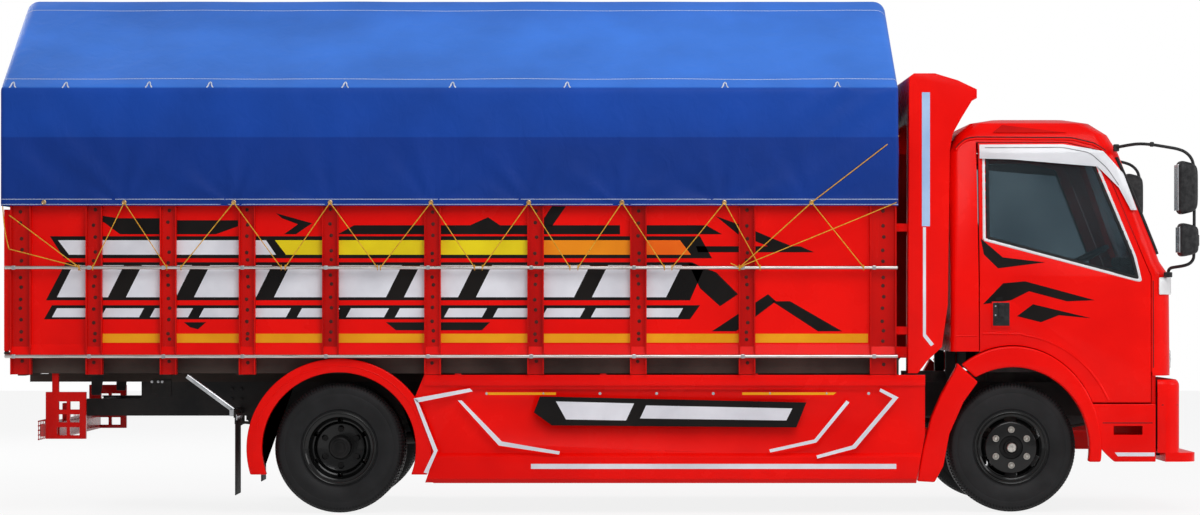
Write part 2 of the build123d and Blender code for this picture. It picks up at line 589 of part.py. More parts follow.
# Mud flaps behind the twin wheels with a hanger plate, and bright stays to the rails
FLAP_X = REAR_AXLE_X - 640
with BuildPart() as flaps:
    block_pair(FLAP_X - 6, FLAP_X, 720, 1040, 110, 620)
    block_pair(FLAP_X - 14, FLAP_X - 6, 700, 1050, 590, 640)
save(flaps.part, "mud_flaps")
STAY_R = 17
STAYS = (
    ((-2643, 854), (-2244, 384)), ((-2380, 910), (-2139, 656)), ((-2853, 811), (-2736, 960)),
)
with BuildPart() as stays:
    with BuildLine():
        Line((FLAP_X - 20, -1000, 640), (-2560, -1000, BEARER_BOTTOM))
    with BuildSketch(Plane((FLAP_X - 20, -1000, 640), z_dir=(-2560 - FLAP_X + 20, 0, BEARER_BOTTOM - 640))):
        Circle(STAY_R)
    sweep()
    block(FLAP_X - 40, FLAP_X - 14, -1040, -RAIL_OUT, 600, 640)
    mirror(about=Plane.XZ)
save(stays.part, "fender_stays")

# Rear under-run guard with lamp boxes
GUARD_X = -3440
with BuildPart() as rear_bar:
    block(GUARD_X, GUARD_X + 80, -1000, 1000, 458, 560)
    block_pair(GUARD_X, GUARD_X + 250, 960, 1000, 458, 749)
    block_pair(GUARD_X + 20, GUARD_X + 60, RAIL_IN, RAIL_OUT, 560, RAIL_BOTTOM + 80)
    for x in (GUARD_X + 70, GUARD_X + 150):
        for z in (480, 560, 640):
            block_pair(x, x + 60, 950, 1010, z, z + 50, mode=Mode.SUBTRACT)
    block_pair(GUARD_X + 40, GUARD_X + 80, 960, 1000, 560, BEARER_BOTTOM + 15)
save(rear_bar.part, "rear_bumper")
with BuildPart() as tail_lamps:
    block_pair(GUARD_X - 40, GUARD_X, 620, 940, 470, 548)
save(tail_lamps.part, "tail_lamps")

# Chassis-mounted rear part of the front wheel arches
FLARE_REAR_IN_Y, FLARE_REAR_OUT_Y = 930, 1032
FLARE_REAR = (
    (2210, 904), (2117, 737), (2055, 594), (2002, 396), (1966, 196), (2074, 190), (2129, 291), (2166, 489),
    (2253, 687), (2343, 812), (2215, 930),
)
with BuildPart() as flare_rear:
    side_slab(FLARE_REAR, FLARE_REAR_IN_Y, FLARE_REAR_OUT_Y)
    block(1990, 2060, -FLARE_REAR_IN_Y, -RAIL_OUT, 480, 520)
save_sides(flare_rear.part, "front_flare_rears")

# Front bumper: a hollow shell open to the rear, with a low lip
BUMPER_X0, BUMPER_X1 = 3460, 3609
BUMPER_BOTTOM, BUMPER_TOP = 372, 836
BUMPER_HALF = 1004
BUMPER_T = 20
BUMPER_CROWN_R = 50
BUMPER_CORNER_R = 110
LIP_X1 = 3705
LIP_BOTTOM = 316
BUMPER_FRAME_Z = (430, 560, 610, 700)
with BuildPart() as bumper:
    with BuildSketch(Plane.XY.offset(BUMPER_BOTTOM)) as plan:
        with Locations(((BUMPER_X0 + BUMPER_X1) / 2, 0)):
            Rectangle(BUMPER_X1 - BUMPER_X0, 2 * BUMPER_HALF)
        fillet(plan.vertices().group_by(Axis.X)[-1], BUMPER_CORNER_R)
    extrude(amount=BUMPER_TOP - BUMPER_BOTTOM)
    fillet(bumper.faces().sort_by(Axis.Z)[-1].edges().sort_by(Axis.X)[-3:], BUMPER_CROWN_R)
    with BuildSketch(Plane.XY.offset(BUMPER_BOTTOM + BUMPER_T)) as inside:
        with Locations(((BUMPER_X0 + BUMPER_X1) / 2 - BUMPER_T, 0)):
            Rectangle(BUMPER_X1 - BUMPER_X0, 2 * (BUMPER_HALF - BUMPER_T))
        fillet(inside.vertices().group_by(Axis.X)[-1], BUMPER_CORNER_R - BUMPER_T)
    extrude(amount=BUMPER_TOP - BUMPER_BOTTOM, mode=Mode.SUBTRACT)
    with BuildSketch(Plane.XY.offset(LIP_BOTTOM)) as lip:
        with Locations(((BUMPER_X1 + LIP_X1) / 2 - 50, 0)):
            Rectangle(LIP_X1 - BUMPER_X1 + 100, 2 * BUMPER_HALF)
        fillet(lip.vertices().group_by(Axis.X)[-1], BUMPER_CORNER_R)
    extrude(amount=BUMPER_BOTTOM - LIP_BOTTOM)
    block(BUMPER_X1 - 20, BUMPER_X1 + 1, -330, 330, *BUMPER_FRAME_Z[:2], mode=Mode.SUBTRACT)
    block_pair(RAIL_FRONT, BUMPER_X1 - BUMPER_T, RAIL_IN + 10, RAIL_OUT - 10, *BUMPER_FRAME_Z[2:])
save(bumper.part, "front_bumper")

# Cab body: lofted through level sections; columns are height, rear X, front X, half width,
# front corner radius and rear corner radius
CAB_SECTIONS = (
    (FLOOR_FRONT_Z, 2180, 3556, 1000, 150, 40),
    (1473, 2178, 3550, 1002, 150, 40),
    (1560, 2177, 3490, 992, 140, 45),
    (2240, 2173, 3240, 912, 120, 60),
    (2350, 2225, 3175, 880, 110, 60),
    (2425, 2320, 3065, 815, 100, 60),
    (2451, 2460, 2930, 700, 80, 60),
)


def cab_section(z, rear, front, half, r_front, r_rear, inset):
    """One level outline of the cab, drawn inside by a wall's thickness."""
    with BuildSketch(Plane.XY.offset(z), mode=Mode.PRIVATE) as level:
        with Locations(((rear + front) / 2, 0)):
            Rectangle(front - rear - 2 * inset, 2 * (half - inset))
        corners = level.vertices().group_by(Axis.X)
        fillet(corners[-1], max(r_front - inset, 20))
        fillet(level.vertices().group_by(Axis.X)[0], max(r_rear - inset, 12))
    return level.sketch


def cab_form(inset=0, lower=0, upper=0):
    """The cab's outer form, or with an inset the hollow inside its walls."""
    rows = [list(row) for row in CAB_SECTIONS]
    rows[0][0] += lower
    for row in rows[4:]:
        row[0] -= upper
    return loft([cab_section(*row, inset) for row in rows], ruled=True, mode=Mode.PRIVATE)


cab_outer = cab_form()
cab_inner = cab_form(CAB_WALL, FLOOR_T, CAB_WALL)
GLASS_T = 12
cab_glass_line = cab_form(GLASS_T, -1, GLASS_T)
DOOR_TOP = 2305
BELT_SPLIT_Z = 1200
SWING_ROOM = 9
DOOR_UPPER = (
    (DOOR_REAR, BELT_SPLIT_Z), (DOOR_REAR - SWING_ROOM, DOOR_TOP), (2905, DOOR_TOP), (3105, 2255), (DOOR_FRONT, 1470),
    (DOOR_FRONT, BELT_SPLIT_Z),
)
DOOR_OUTLINE = (
    (DOOR_REAR, 700), (DOOR_REAR, DOOR_TOP), (2905, DOOR_TOP), (3105, 2255), (DOOR_FRONT, 1470),
    (DOOR_FRONT, DOOR_BOTTOM), (2900, DOOR_BOTTOM), (2900, 700),
)
WINDOW_OUTLINE = ((2410, 1705), (2408, 2235), (2885, 2235), (3060, 2190), (3300, 1600), (3335, 1455))
JAMB_Y = 945
ROOF_SIDE_Y = 780
BEYOND_Y = 1100
DOOR_IN_Y = 955
TUNNEL_FRONT = 3260
TUNNEL_T = 25
APRON_H = 22
APRON_X = 3428
FLARE_IN_Y, FLARE_OUT_Y = JAMB_Y, 1035
TIP_Z = 316
SPLIT_LINE = ((1900, -400), (2352, -400), (2352, 818), (2222, 938), (1900, 938))
BRACKET_IN, BRACKET_OUT = 415, 440
BRACKET_EYE_R = 30
SCREEN_OUTLINE = ((-872, 1600), (-790, 2215), (790, 2215), (872, 1600))
REAR_WINDOW = (-560, 560, 1650, 2100)
LAMP_IN, LAMP_OUT = 560, 835
LAMP_Z0, LAMP_Z1 = 890, 1010
LAMP_DEEP = 34

with BuildPart() as shell:
    add(cab_outer)
    add(cab_inner, mode=Mode.SUBTRACT)
    hollow = cab_section(*CAB_SECTIONS[0], CAB_WALL)
    extrude(hollow, amount=FLOOR_T, mode=Mode.SUBTRACT)
    block(CAB_REAR - 1, FLOOR_STEP_X, -CAB_HALF_W, CAB_HALF_W, FLOOR_FRONT_Z - 1, FLOOR_REAR_Z, mode=Mode.SUBTRACT)
    apron = cab_section(*CAB_SECTIONS[0], 0)
    extrude(apron, amount=-APRON_H)
    extrude(hollow, amount=-APRON_H, mode=Mode.SUBTRACT)
    block(CAB_REAR - 1, APRON_X, -CAB_HALF_W, CAB_HALF_W, FLOOR_FRONT_Z - APRON_H, FLOOR_FRONT_Z, mode=Mode.SUBTRACT)
    for y_from, y_to in ((JAMB_Y, BEYOND_Y), (-BEYOND_Y, -JAMB_Y)):
        side_slab(DOOR_OUTLINE, y_from, y_to, mode=Mode.SUBTRACT)
    for y_from, y_to in ((ROOF_SIDE_Y, BEYOND_Y), (-BEYOND_Y, -ROOF_SIDE_Y)):
        side_slab(DOOR_UPPER, y_from, y_to, mode=Mode.SUBTRACT)
    section_run(SCREEN_OUTLINE, 3100, 3600, mode=Mode.SUBTRACT)
    block(CAB_REAR - 20, CAB_REAR + CAB_WALL + 10, *REAR_WINDOW, mode=Mode.SUBTRACT)
    block_pair(3520, 3600, LAMP_IN, LAMP_OUT, LAMP_Z0, LAMP_Z1, mode=Mode.SUBTRACT)
    block_pair(APRON_X, APRON_X + 26, 925, 960, DOOR_BOTTOM - 6, FLOOR_FRONT_Z)
save(shell.part, "cab_shell")

# Cab floor inside the walls: a low front pan, a step up to the rear and the two ears on the tilt pins
EAR_REAR, EAR_FRONT = 135, 75
EAR_TOP = FLOOR_FRONT_Z + 5
with BuildPart() as cab_floor:
    extrude(cab_section(*CAB_SECTIONS[0], CAB_WALL), amount=FLOOR_T)
    z0, z1 = FLOOR_FRONT_Z - 1, FLOOR_FRONT_Z + FLOOR_T + 1
    block(CAB_REAR, TUNNEL_FRONT - TUNNEL_T, -TUNNEL_HALF + TUNNEL_T, TUNNEL_HALF - TUNNEL_T, z0, z1, mode=Mode.SUBTRACT)
    block_pair(CAB_REAR, DOOR_FRONT, JAMB_Y, CAB_HALF_W, z0, z1, mode=Mode.SUBTRACT)
    block(CAB_REAR - 1, FLOOR_STEP_X, -CAB_HALF_W, CAB_HALF_W, z0, FLOOR_REAR_Z, mode=Mode.SUBTRACT)
    y0, y1 = TUNNEL_HALF, JAMB_Y - DOOR_GAP
    block_pair(CAB_REAR + CAB_WALL, FLOOR_STEP_X, y0, y1, FLOOR_REAR_Z, FLOOR_REAR_Z + FLOOR_T)
    block_pair(FLOOR_STEP_X, FLOOR_STEP_X + FLOOR_T, y0, y1, FLOOR_FRONT_Z, FLOOR_REAR_Z + FLOOR_T)
    for side in (-1, 1):
        y0, y1 = sorted((side * BRACKET_IN, side * BRACKET_OUT))
        eye = Location((TILT_X, (y0 + y1) / 2, TILT_Z))
        with BuildSketch(Plane.XZ.offset(-y1)) as ear:
            Polygon(
                (TILT_X - EAR_REAR, EAR_TOP), (TILT_X - EAR_FRONT, EAR_TOP),
                (TILT_X + BRACKET_EYE_R - 4, TILT_Z + 14), (TILT_X - BRACKET_EYE_R + 4, TILT_Z - 14), align=None,
            )
            with Locations((TILT_X, TILT_Z)):
                Circle(BRACKET_EYE_R)
        extrude(ear.sketch, amount=y1 - y0)
        with Locations(eye):
            Cylinder(TILT_PIN_R + SPINDLE_FIT, 2 * (y1 - y0), rotation=(90, 0, 0), mode=Mode.SUBTRACT)
save(cab_floor.part, "cab_floor")
with BuildPart() as engine_cover:
    x0 = CAB_REAR + CAB_WALL
    block(x0, TUNNEL_FRONT, -TUNNEL_HALF, TUNNEL_HALF, FLOOR_FRONT_Z + FLOOR_T, TUNNEL_TOP)
    block(
        x0 - 1, TUNNEL_FRONT - TUNNEL_T, -TUNNEL_HALF + TUNNEL_T, TUNNEL_HALF - TUNNEL_T,
        FLOOR_FRONT_Z, TUNNEL_TOP - TUNNEL_T, mode=Mode.SUBTRACT,
    )
    block(x0, FLOOR_STEP_X, -TUNNEL_HALF, TUNNEL_HALF, FLOOR_FRONT_Z, FLOOR_REAR_Z, mode=Mode.SUBTRACT)
save(engine_cover.part, "engine_cover")

# Cab-mounted wheel arch flares
with BuildPart() as flare:
    arch_ring(FRONT_AXLE_X, ARCH_OUT_A, ARCH_OUT_B, ARCH_IN_A, ARCH_IN_B, FLARE_IN_Y, FLARE_OUT_Y)
    side_slab(SPLIT_LINE, FLARE_IN_Y - 1, FLARE_OUT_Y + 1, mode=Mode.SUBTRACT)
    block(2000, 3400, -FLARE_OUT_Y, -FLARE_IN_Y, -400, TIP_Z, mode=Mode.SUBTRACT)
    block(2000, FRONT_AXLE_X, -FLARE_OUT_Y, -FLARE_IN_Y, -400, TYRE_R, mode=Mode.SUBTRACT)
save_sides(flare.part, "cab_wheel_flares")

# Entry steps under the doors
STEP_REAR, STEP_FRONT = 3000, 3448
STEP_TOP = DOOR_BOTTOM - 6
STEP_OUT, STEP_SKIN = 1000, 38
STEP_IN = 780
TREAD_T = 36
FOOT_X0, FOOT_X1, FOOT_Z0, FOOT_Z1 = 3188, 3367, 483, 538
TILT_REACH = 568
with BuildPart() as step:
    block(STEP_REAR, STEP_FRONT, -STEP_OUT, -STEP_OUT + STEP_SKIN, TIP_Z, STEP_TOP)
    block(STEP_REAR, STEP_FRONT, -STEP_OUT, -STEP_IN, STEP_TOP - TREAD_T, STEP_TOP)
    block(STEP_REAR, STEP_FRONT, -STEP_OUT, -STEP_IN, FOOT_Z0 - TREAD_T, FOOT_Z0)
    block(STEP_REAR, STEP_FRONT, -STEP_IN - 20, -STEP_IN, FOOT_Z0 - TREAD_T, FLOOR_FRONT_Z)
    block(FOOT_X0, FOOT_X1, -STEP_OUT, -STEP_OUT + STEP_SKIN, FOOT_Z0, FOOT_Z1, mode=Mode.SUBTRACT)
    arch_plug(FRONT_AXLE_X, ARCH_OUT_A, ARCH_OUT_B, STEP_IN - 10, STEP_OUT + 1)
    with BuildSketch(Plane.XZ.offset(STEP_IN - 10)) as reach:
        with Locations((TILT_X, TILT_Z)):
            Circle(TILT_REACH)
    extrude(reach.sketch, amount=STEP_OUT - STEP_IN + 20, mode=Mode.INTERSECT)
save_sides(step.part, "entry_steps")

# Doors, their glass and the weather strip over each window
DOOR_RANGE_Y = (ROOF_SIDE_Y, BEYOND_Y)
HANDLE = (2430, 2545, 1150, 1310)
VISOR_STAND, VISOR_T = 16, 6
VISOR_OUTLINE = (
    (2362, 2200), (2362, 2288), (2885, 2290), (3132, 2247), (3262, 2105), (3343, 1879), (3300, 1879),
    (3225, 2020), (3095, 2150), (2556, 2195),
)
with BuildPart() as door:
    add(cab_outer)
    add(cab_inner, mode=Mode.SUBTRACT)
    y = JAMB_Y + DOOR_GAP
    block(CAB_REAR, TILT_X, -y, y, FLOOR_FRONT_Z - 1, BELT_SPLIT_Z, mode=Mode.SUBTRACT)
    block(2900, DOOR_FRONT, -STEP_OUT, -DOOR_IN_Y, DOOR_BOTTOM, FLOOR_FRONT_Z + 1)
    with BuildSketch(Plane.XZ.offset(ROOF_SIDE_Y)) as leaf:
        Polygon(*DOOR_OUTLINE, align=None)
        offset(amount=-DOOR_GAP, kind=Kind.INTERSECTION, mode=Mode.REPLACE)
        with Locations((FRONT_AXLE_X, TYRE_R)):
            Ellipse(ARCH_OUT_A + DOOR_GAP, ARCH_OUT_B + DOOR_GAP, mode=Mode.SUBTRACT)
    extrude(leaf.sketch, amount=BEYOND_Y - ROOF_SIDE_Y, mode=Mode.INTERSECT)
    side_slab(WINDOW_OUTLINE, *DOOR_RANGE_Y, mode=Mode.SUBTRACT)
    hx0, hx1, hz0, hz1 = HANDLE
    block(hx0, hx1, -STEP_OUT - 20, -STEP_OUT + 10, hz0, hz1)
    block(hx0 + 20, hx1 - 20, -STEP_OUT - 21, -STEP_OUT, hz0 + 20, hz1 - 70, mode=Mode.SUBTRACT)
save_pair(door.part, "door")
with BuildPart() as pane:
    add(cab_outer)
    add(cab_glass_line, mode=Mode.SUBTRACT)
    with BuildSketch(Plane.XZ.offset(ROOF_SIDE_Y)) as light:
        Polygon(*WINDOW_OUTLINE, align=None)
    extrude(light.sketch, amount=BEYOND_Y - ROOF_SIDE_Y, mode=Mode.INTERSECT)
save_pair(pane.part, "door_glass")
visor_near = cab_form(-VISOR_STAND)
visor_far = cab_form(-VISOR_STAND - VISOR_T)
with BuildPart() as visor:
    add(visor_far)
    add(visor_near, mode=Mode.SUBTRACT)
    with BuildSketch(Plane.XZ.offset(ROOF_SIDE_Y)) as strip:
        Polygon(*VISOR_OUTLINE, align=None)
    extrude(strip.sketch, amount=BEYOND_Y - ROOF_SIDE_Y, mode=Mode.INTERSECT)
with BuildPart() as visor_edge:
    add(visor_far)
    add(cab_outer, mode=Mode.SUBTRACT)
    with BuildSketch(Plane.XZ.offset(ROOF_SIDE_Y)) as strip:
        Polygon((2362, 2262), (2362, 2288), (2885, 2290), (3060, 2261), (3060, 2240), (2885, 2264), align=None)
    extrude(strip.sketch, amount=BEYOND_Y - ROOF_SIDE_Y, mode=Mode.INTERSECT)
with BuildPart() as visor_whole:
    add(visor.part)
    add(visor_edge.part)
save_pair(visor_whole.part, "door_visor")

# Windscreen and rear window
with BuildPart() as rear_window:
    block(CAB_REAR + 20, CAB_REAR + 20 + GLASS_T, *REAR_WINDOW)
with BuildPart() as screen:
    add(cab_outer)
    add(cab_glass_line, mode=Mode.SUBTRACT)
    with BuildSketch(Plane.YZ.offset(3150)) as light:
        Polygon(*SCREEN_OUTLINE, align=None)
    extrude(light.sketch, amount=450, mode=Mode.INTERSECT)
    add(rear_window.part)
save(screen.part, "cab_glass")

# Front lamps, grille, corner lamps and mirrors
FACE_X = 3556
with BuildPart() as lamps:
    block_pair(FACE_X - LAMP_DEEP, FACE_X + 12, LAMP_IN, LAMP_OUT, LAMP_Z0, LAMP_Z1)
save(lamps.part, "headlamps")
GRILLE_HALF, GRILLE_Z0, GRILLE_Z1 = 500, 900, 1190
GRILLE_BARS = 6
with BuildPart() as grille:
    block(FACE_X, FACE_X + 14, -GRILLE_HALF, GRILLE_HALF, GRILLE_Z0, GRILLE_Z1)
    pitch = (GRILLE_Z1 - GRILLE_Z0 - 20) / GRILLE_BARS
    for n in range(GRILLE_BARS):
        z = GRILLE_Z0 + 20 + n * pitch
        block(FACE_X + 4, FACE_X + 15, -GRILLE_HALF + 20, GRILLE_HALF - 20, z, z + pitch - 20, mode=Mode.SUBTRACT)
save(grille.part, "front_grille")
with BuildPart() as corner:
    add(cab_form(-14))
    add(cab_outer, mode=Mode.SUBTRACT)
    with Locations((3560, -940, 1407)):
        Box(180, 230, 107, mode=Mode.INTERSECT)
save_sides(corner.part, "corner_lamps")
ARM_R = 10
MIRROR_Y = 1150
ARM_FOOT = (3527, -985)
ARM_FOOT_R, ARM_FOOT_Z0, ARM_FOOT_Z1 = 27, 1460.5, 1493
MIRROR_ARM = (
    (3190, -880, 2265), (3330, -1080, 2290), (3560, -MIRROR_Y, 2252), (3645, -MIRROR_Y, 2200),
    (3663, -MIRROR_Y, 2120), (3663, -MIRROR_Y, 1580), (3620, -1130, 1535), (3540, -1010, 1520),
    (*ARM_FOOT, ARM_FOOT_Z1 - 4),
)
MIRROR_HEADS = ((3552, 3680, 1843, 2181), (3561, 3684, 1584, 1797))
with BuildPart() as mirrors:
    with BuildLine():
        Polyline(*MIRROR_ARM)
    first, second = Vector(*MIRROR_ARM[0]), Vector(*MIRROR_ARM[1])
    with BuildSketch(Plane(first, z_dir=second - first)):
        Circle(ARM_R)
    sweep(transition=Transition.RIGHT)
    with Locations((*ARM_FOOT, (ARM_FOOT_Z0 + ARM_FOOT_Z1) / 2)):
        Cylinder(ARM_FOOT_R, ARM_FOOT_Z1 - ARM_FOOT_Z0)
    add(cab_outer, mode=Mode.SUBTRACT)
    for x0, x1, z0, z1 in MIRROR_HEADS:
        block(x0, x1, -MIRROR_Y - 95, -MIRROR_Y + 95, z0, z1)
save_sides(mirrors.part, "mirrors")

# Inside the cab: dashboard, seats, steering column and wheel
CAB_FLOOR = FLOOR_FRONT_Z + FLOOR_T
DRIVER_Y = -560
DASH_HALF = 850
DASH_OUTLINE = ((3200, 1300), (3160, 1420), (3250, 1530), (3430, 1540), (3470, 1200), (3400, 1120))
with BuildPart() as dash:
    side_slab(DASH_OUTLINE, -DASH_HALF, DASH_HALF)
    block_pair(3380, 3470, 500, 700, CAB_FLOOR, 1150)
save(dash.part, "dashboard")
SEAT_SPANS = ((-870, -360), (360, 870))
SEAT_SPLIT_Z = 1331
CUSHION_OUTLINE = (
    (2290, 1230), (2290, SEAT_SPLIT_Z - SOFT_GAP), (2465, SEAT_SPLIT_Z - SOFT_GAP), (2960, 1370), (2975, 1270), (2940, 1230),
)
BACKREST_OUTLINE = ((2460, SEAT_SPLIT_Z), (2330, 1980), (2240, 1985), (2290, SEAT_SPLIT_Z))
with BuildPart() as seats:
    for y0, y1 in SEAT_SPANS:
        side_slab(CUSHION_OUTLINE, -y1, -y0)
        side_slab(BACKREST_OUTLINE, -y1, -y0)
save(seats.part, "seats")
with BuildPart() as seat_bases:
    for y0, y1 in SEAT_SPANS:
        block(2480, 2900, y0 + 40, y1 - 40, CAB_FLOOR, 1230 - SOFT_GAP)
save(seat_bases.part, "seat_bases")
WHEEL_CENTRE = Vector(3010, DRIVER_Y, 1560)
COLUMN_FOOT = Vector(3335, DRIVER_Y, CAB_FLOOR - 20)
STEER_WHEEL_R = 215
with BuildPart() as steering:
    axis = (WHEEL_CENTRE - COLUMN_FOOT).normalized()
    with BuildSketch(Plane(COLUMN_FOOT, z_dir=axis)):
        Circle(28)
    extrude(amount=(WHEEL_CENTRE - COLUMN_FOOT).length - 6)
    rim_plane = Plane(WHEEL_CENTRE, z_dir=axis)
    with Locations(rim_plane):
        Torus(STEER_WHEEL_R, 14)
        Box(2 * STEER_WHEEL_R, 40, 16)
        Cylinder(55, 34)
    block(3200, 3400, DRIVER_Y - 100, DRIVER_Y + 100, CAB_FLOOR - 100, CAB_FLOOR, mode=Mode.SUBTRACT)
save(steering.part, "steering_wheel")

# Wheels, drawn about the axle line and set upright; columns of each table are radius and distance
# outwards from the wheel's middle
RIM_OPENINGS = 6
OPENING_R = 174
OPENING_W, OPENING_H = 76, 30
REAR_OPENING_C, REAR_OPENING_R = 170, 16


def wheel_turned(profile):
    """A closed outline turned about the wheel's own axis, kept as a loose solid."""
    with BuildPart(mode=Mode.PRIVATE) as turned:
        with BuildSketch(Plane.XZ) as half:
            Polygon(*profile, align=None)
        revolve(half.sketch, axis=Axis.Z)
    return turned.part


TYRE_PROFILE = (
    (TYRE_BEAD_R, -78), (236, -79), (300, -104), (368, -102), (392, -88), (TYRE_R, -62),
    (TYRE_R, 62), (392, 88), (368, 102), (300, 104), (236, 79), (TYRE_BEAD_R, 78),
)
BARREL_IN = TYRE_BEAD_R - RIM_T
LIP_IN = RIM_HALF_W - RIM_LIP_T
RIM_PROFILE = (
    (BARREL_IN, -RIM_HALF_W), (RIM_LIP_R, -RIM_HALF_W), (RIM_LIP_R, -LIP_IN), (TYRE_BEAD_R - SOFT_GAP, -LIP_IN),
    (TYRE_BEAD_R - SOFT_GAP, LIP_IN), (RIM_LIP_R, LIP_IN), (RIM_LIP_R, RIM_HALF_W), (BARREL_IN, RIM_HALF_W),
)
FRONT_DISC = ((BARREL_IN + 3, 6), (BARREL_IN + 3, 26), (158, 72), (70, 76), (60, 62), (150, 58), (186, 6))
HUB_SPIGOT_R, HUB_SPIGOT_FROM, HUB_SPIGOT_TO = 48, 64, 110
FRONT_HUB = (
    (SPINDLE_R + SPINDLE_FIT, -40), (82, -40), (82, 62), (HUB_SPIGOT_R, HUB_SPIGOT_FROM),
    (HUB_SPIGOT_R, HUB_SPIGOT_TO), (36, HUB_SPIGOT_TO + 12), (0, HUB_SPIGOT_TO + 12), (0, 100),
    (SPINDLE_R + SPINDLE_FIT, 100),
)
REAR_DISC = (
    (BARREL_IN + 3, -20), (BARREL_IN + 3, 0), (160, 10), (150, -60), (72, -65), (72, -80), (164, -76), (176, -20),
)
DUAL_Z = 117
FACE_IN = DUAL_Z - 80
REAR_SPIGOT_R, REAR_SPIGOT_FROM, REAR_SPIGOT_TO = 67, FACE_IN + 3, FACE_IN + 120
REAR_HUB = (
    (SPINDLE_R + SPINDLE_FIT, -60), (88, -60), (88, REAR_SPIGOT_FROM), (REAR_SPIGOT_R, REAR_SPIGOT_FROM),
    (REAR_SPIGOT_R, REAR_SPIGOT_TO), (46, REAR_SPIGOT_TO + 12), (0, REAR_SPIGOT_TO + 12), (0, 90),
    (SPINDLE_R + SPINDLE_FIT, 90),
)
STUD_R = 13
FRONT_PLACE = Location((FRONT_AXLE_X, -FRONT_WHEEL_Y, TYRE_R), (90, 0, 0))
REAR_PLACE = Location((REAR_AXLE_X, -REAR_DUAL_Y, TYRE_R), (90, 0, 0))
tyre_ring = wheel_turned(TYRE_PROFILE)
rim_ring = wheel_turned(RIM_PROFILE)
with BuildPart() as front_tyre:
    add(tyre_ring)
save_pair(front_tyre.part.moved(FRONT_PLACE), "front_tyre")
with BuildPart() as front_rim:
    add(rim_ring)
    add(wheel_turned(FRONT_DISC))
    with BuildSketch() as openings:
        with PolarLocations(OPENING_R, RIM_OPENINGS, start_angle=30):
            SlotOverall(OPENING_W, OPENING_H, rotation=90)
    extrude(openings.sketch, amount=RIM_HALF_W, both=True, mode=Mode.SUBTRACT)
    add(wheel_turned(FRONT_HUB))
    with Locations((0, 0, 66)):
        with PolarLocations(STUD_CIRCLE_R, STUD_COUNT, start_angle=30):
            Cylinder(STUD_R, 44)
save_pair(front_rim.part.moved(FRONT_PLACE), "front_rim")
with BuildPart() as twin_tyres:
    with Locations((0, 0, -DUAL_Z), (0, 0, DUAL_Z)):
        add(tyre_ring)
save_pair(twin_tyres.part.moved(REAR_PLACE), "rear_twin_tyres")
with BuildPart() as twin_rims:
    with Locations((0, 0, DUAL_Z)):
        add(rim_ring)
        add(wheel_turned(REAR_DISC))
    with Locations(Location((0, 0, -DUAL_Z), (180, 0, 0))):
        add(rim_ring)
        add(wheel_turned(REAR_DISC))
    add(wheel_turned(REAR_HUB))
    with PolarLocations(REAR_OPENING_C, RIM_OPENINGS, start_angle=30):
        Cylinder(REAR_OPENING_R, 2 * DUAL_Z, mode=Mode.SUBTRACT)
    with Locations((0, 0, FACE_IN + 14)):
        with PolarLocations(STUD_CIRCLE_R, STUD_COUNT, start_angle=30):
            Cylinder(STUD_R, 50)
save_pair(twin_rims.part.moved(REAR_PLACE), "rear_twin_rims")
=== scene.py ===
import bpy
import math
import random
from mathutils import Vector, Matrix, noise


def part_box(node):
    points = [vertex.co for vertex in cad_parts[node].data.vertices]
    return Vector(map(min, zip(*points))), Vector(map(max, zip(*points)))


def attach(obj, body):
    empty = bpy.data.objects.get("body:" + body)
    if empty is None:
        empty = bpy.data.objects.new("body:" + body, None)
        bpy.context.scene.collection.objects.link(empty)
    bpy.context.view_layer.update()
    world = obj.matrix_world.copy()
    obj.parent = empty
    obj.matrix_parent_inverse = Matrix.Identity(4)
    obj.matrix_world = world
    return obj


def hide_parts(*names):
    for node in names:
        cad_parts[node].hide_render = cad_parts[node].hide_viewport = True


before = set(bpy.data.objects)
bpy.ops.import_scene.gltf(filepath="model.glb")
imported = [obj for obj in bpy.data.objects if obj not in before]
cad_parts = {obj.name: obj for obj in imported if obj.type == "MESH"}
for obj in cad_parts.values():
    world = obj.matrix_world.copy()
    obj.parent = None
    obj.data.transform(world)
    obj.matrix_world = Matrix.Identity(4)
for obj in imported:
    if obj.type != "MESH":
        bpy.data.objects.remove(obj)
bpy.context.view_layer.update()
bpy.ops.object.select_all(action="DESELECT")

# ---- Camera -------------------------------------------------------------------------------
# Level, 1.32 m above the ground and 24 m from the truck's middle, square to its right side.
# A long lens, with the frame raised so that the horizon lies a little below its middle.
eye = bpy.data.cameras.new("side_camera")
eye.lens = 111.2
eye.sensor_width = 36
eye.shift_y = 0.0354
eye.clip_end = 200
eye_stand = bpy.data.objects.new("side_camera", eye)
eye_stand.location = (0, -24.0, 1.32)
eye_stand.rotation_euler = (math.radians(90), 0, 0)
bpy.context.scene.collection.objects.link(eye_stand)
bpy.context.scene.camera = eye_stand
bpy.context.scene.view_settings.view_transform = "Standard"

# ---- Floor, sky and lamps -----------------------------------------------------------------
# A plain white studio floor that keeps the truck's shadow, under a white sky.
# One broad lamp stands high at the camera's side and a weaker one fills from the front.


def fed(tree, node, feeds):
    """Give a node's inputs their values, or wire them from other nodes."""
    for socket, value in feeds.items():
        if isinstance(value, bpy.types.NodeSocket):
            tree.links.new(value, node.inputs[socket])
        else:
            node.inputs[socket].default_value = value
    return node


def wired(tree, kind, feeds={}, **traits):
    """A new node with its traits set and its inputs fed."""
    node = tree.nodes.new("ShaderNode" + kind)
    for trait, value in traits.items():
        setattr(node, trait, value)
    return fed(tree, node, feeds)


def bare_look(name):
    """A new finish, with its tree and its plain surface."""
    look = bpy.data.materials.new(name)
    look.use_nodes = True
    return look, look.node_tree, look.node_tree.nodes["Principled BSDF"]


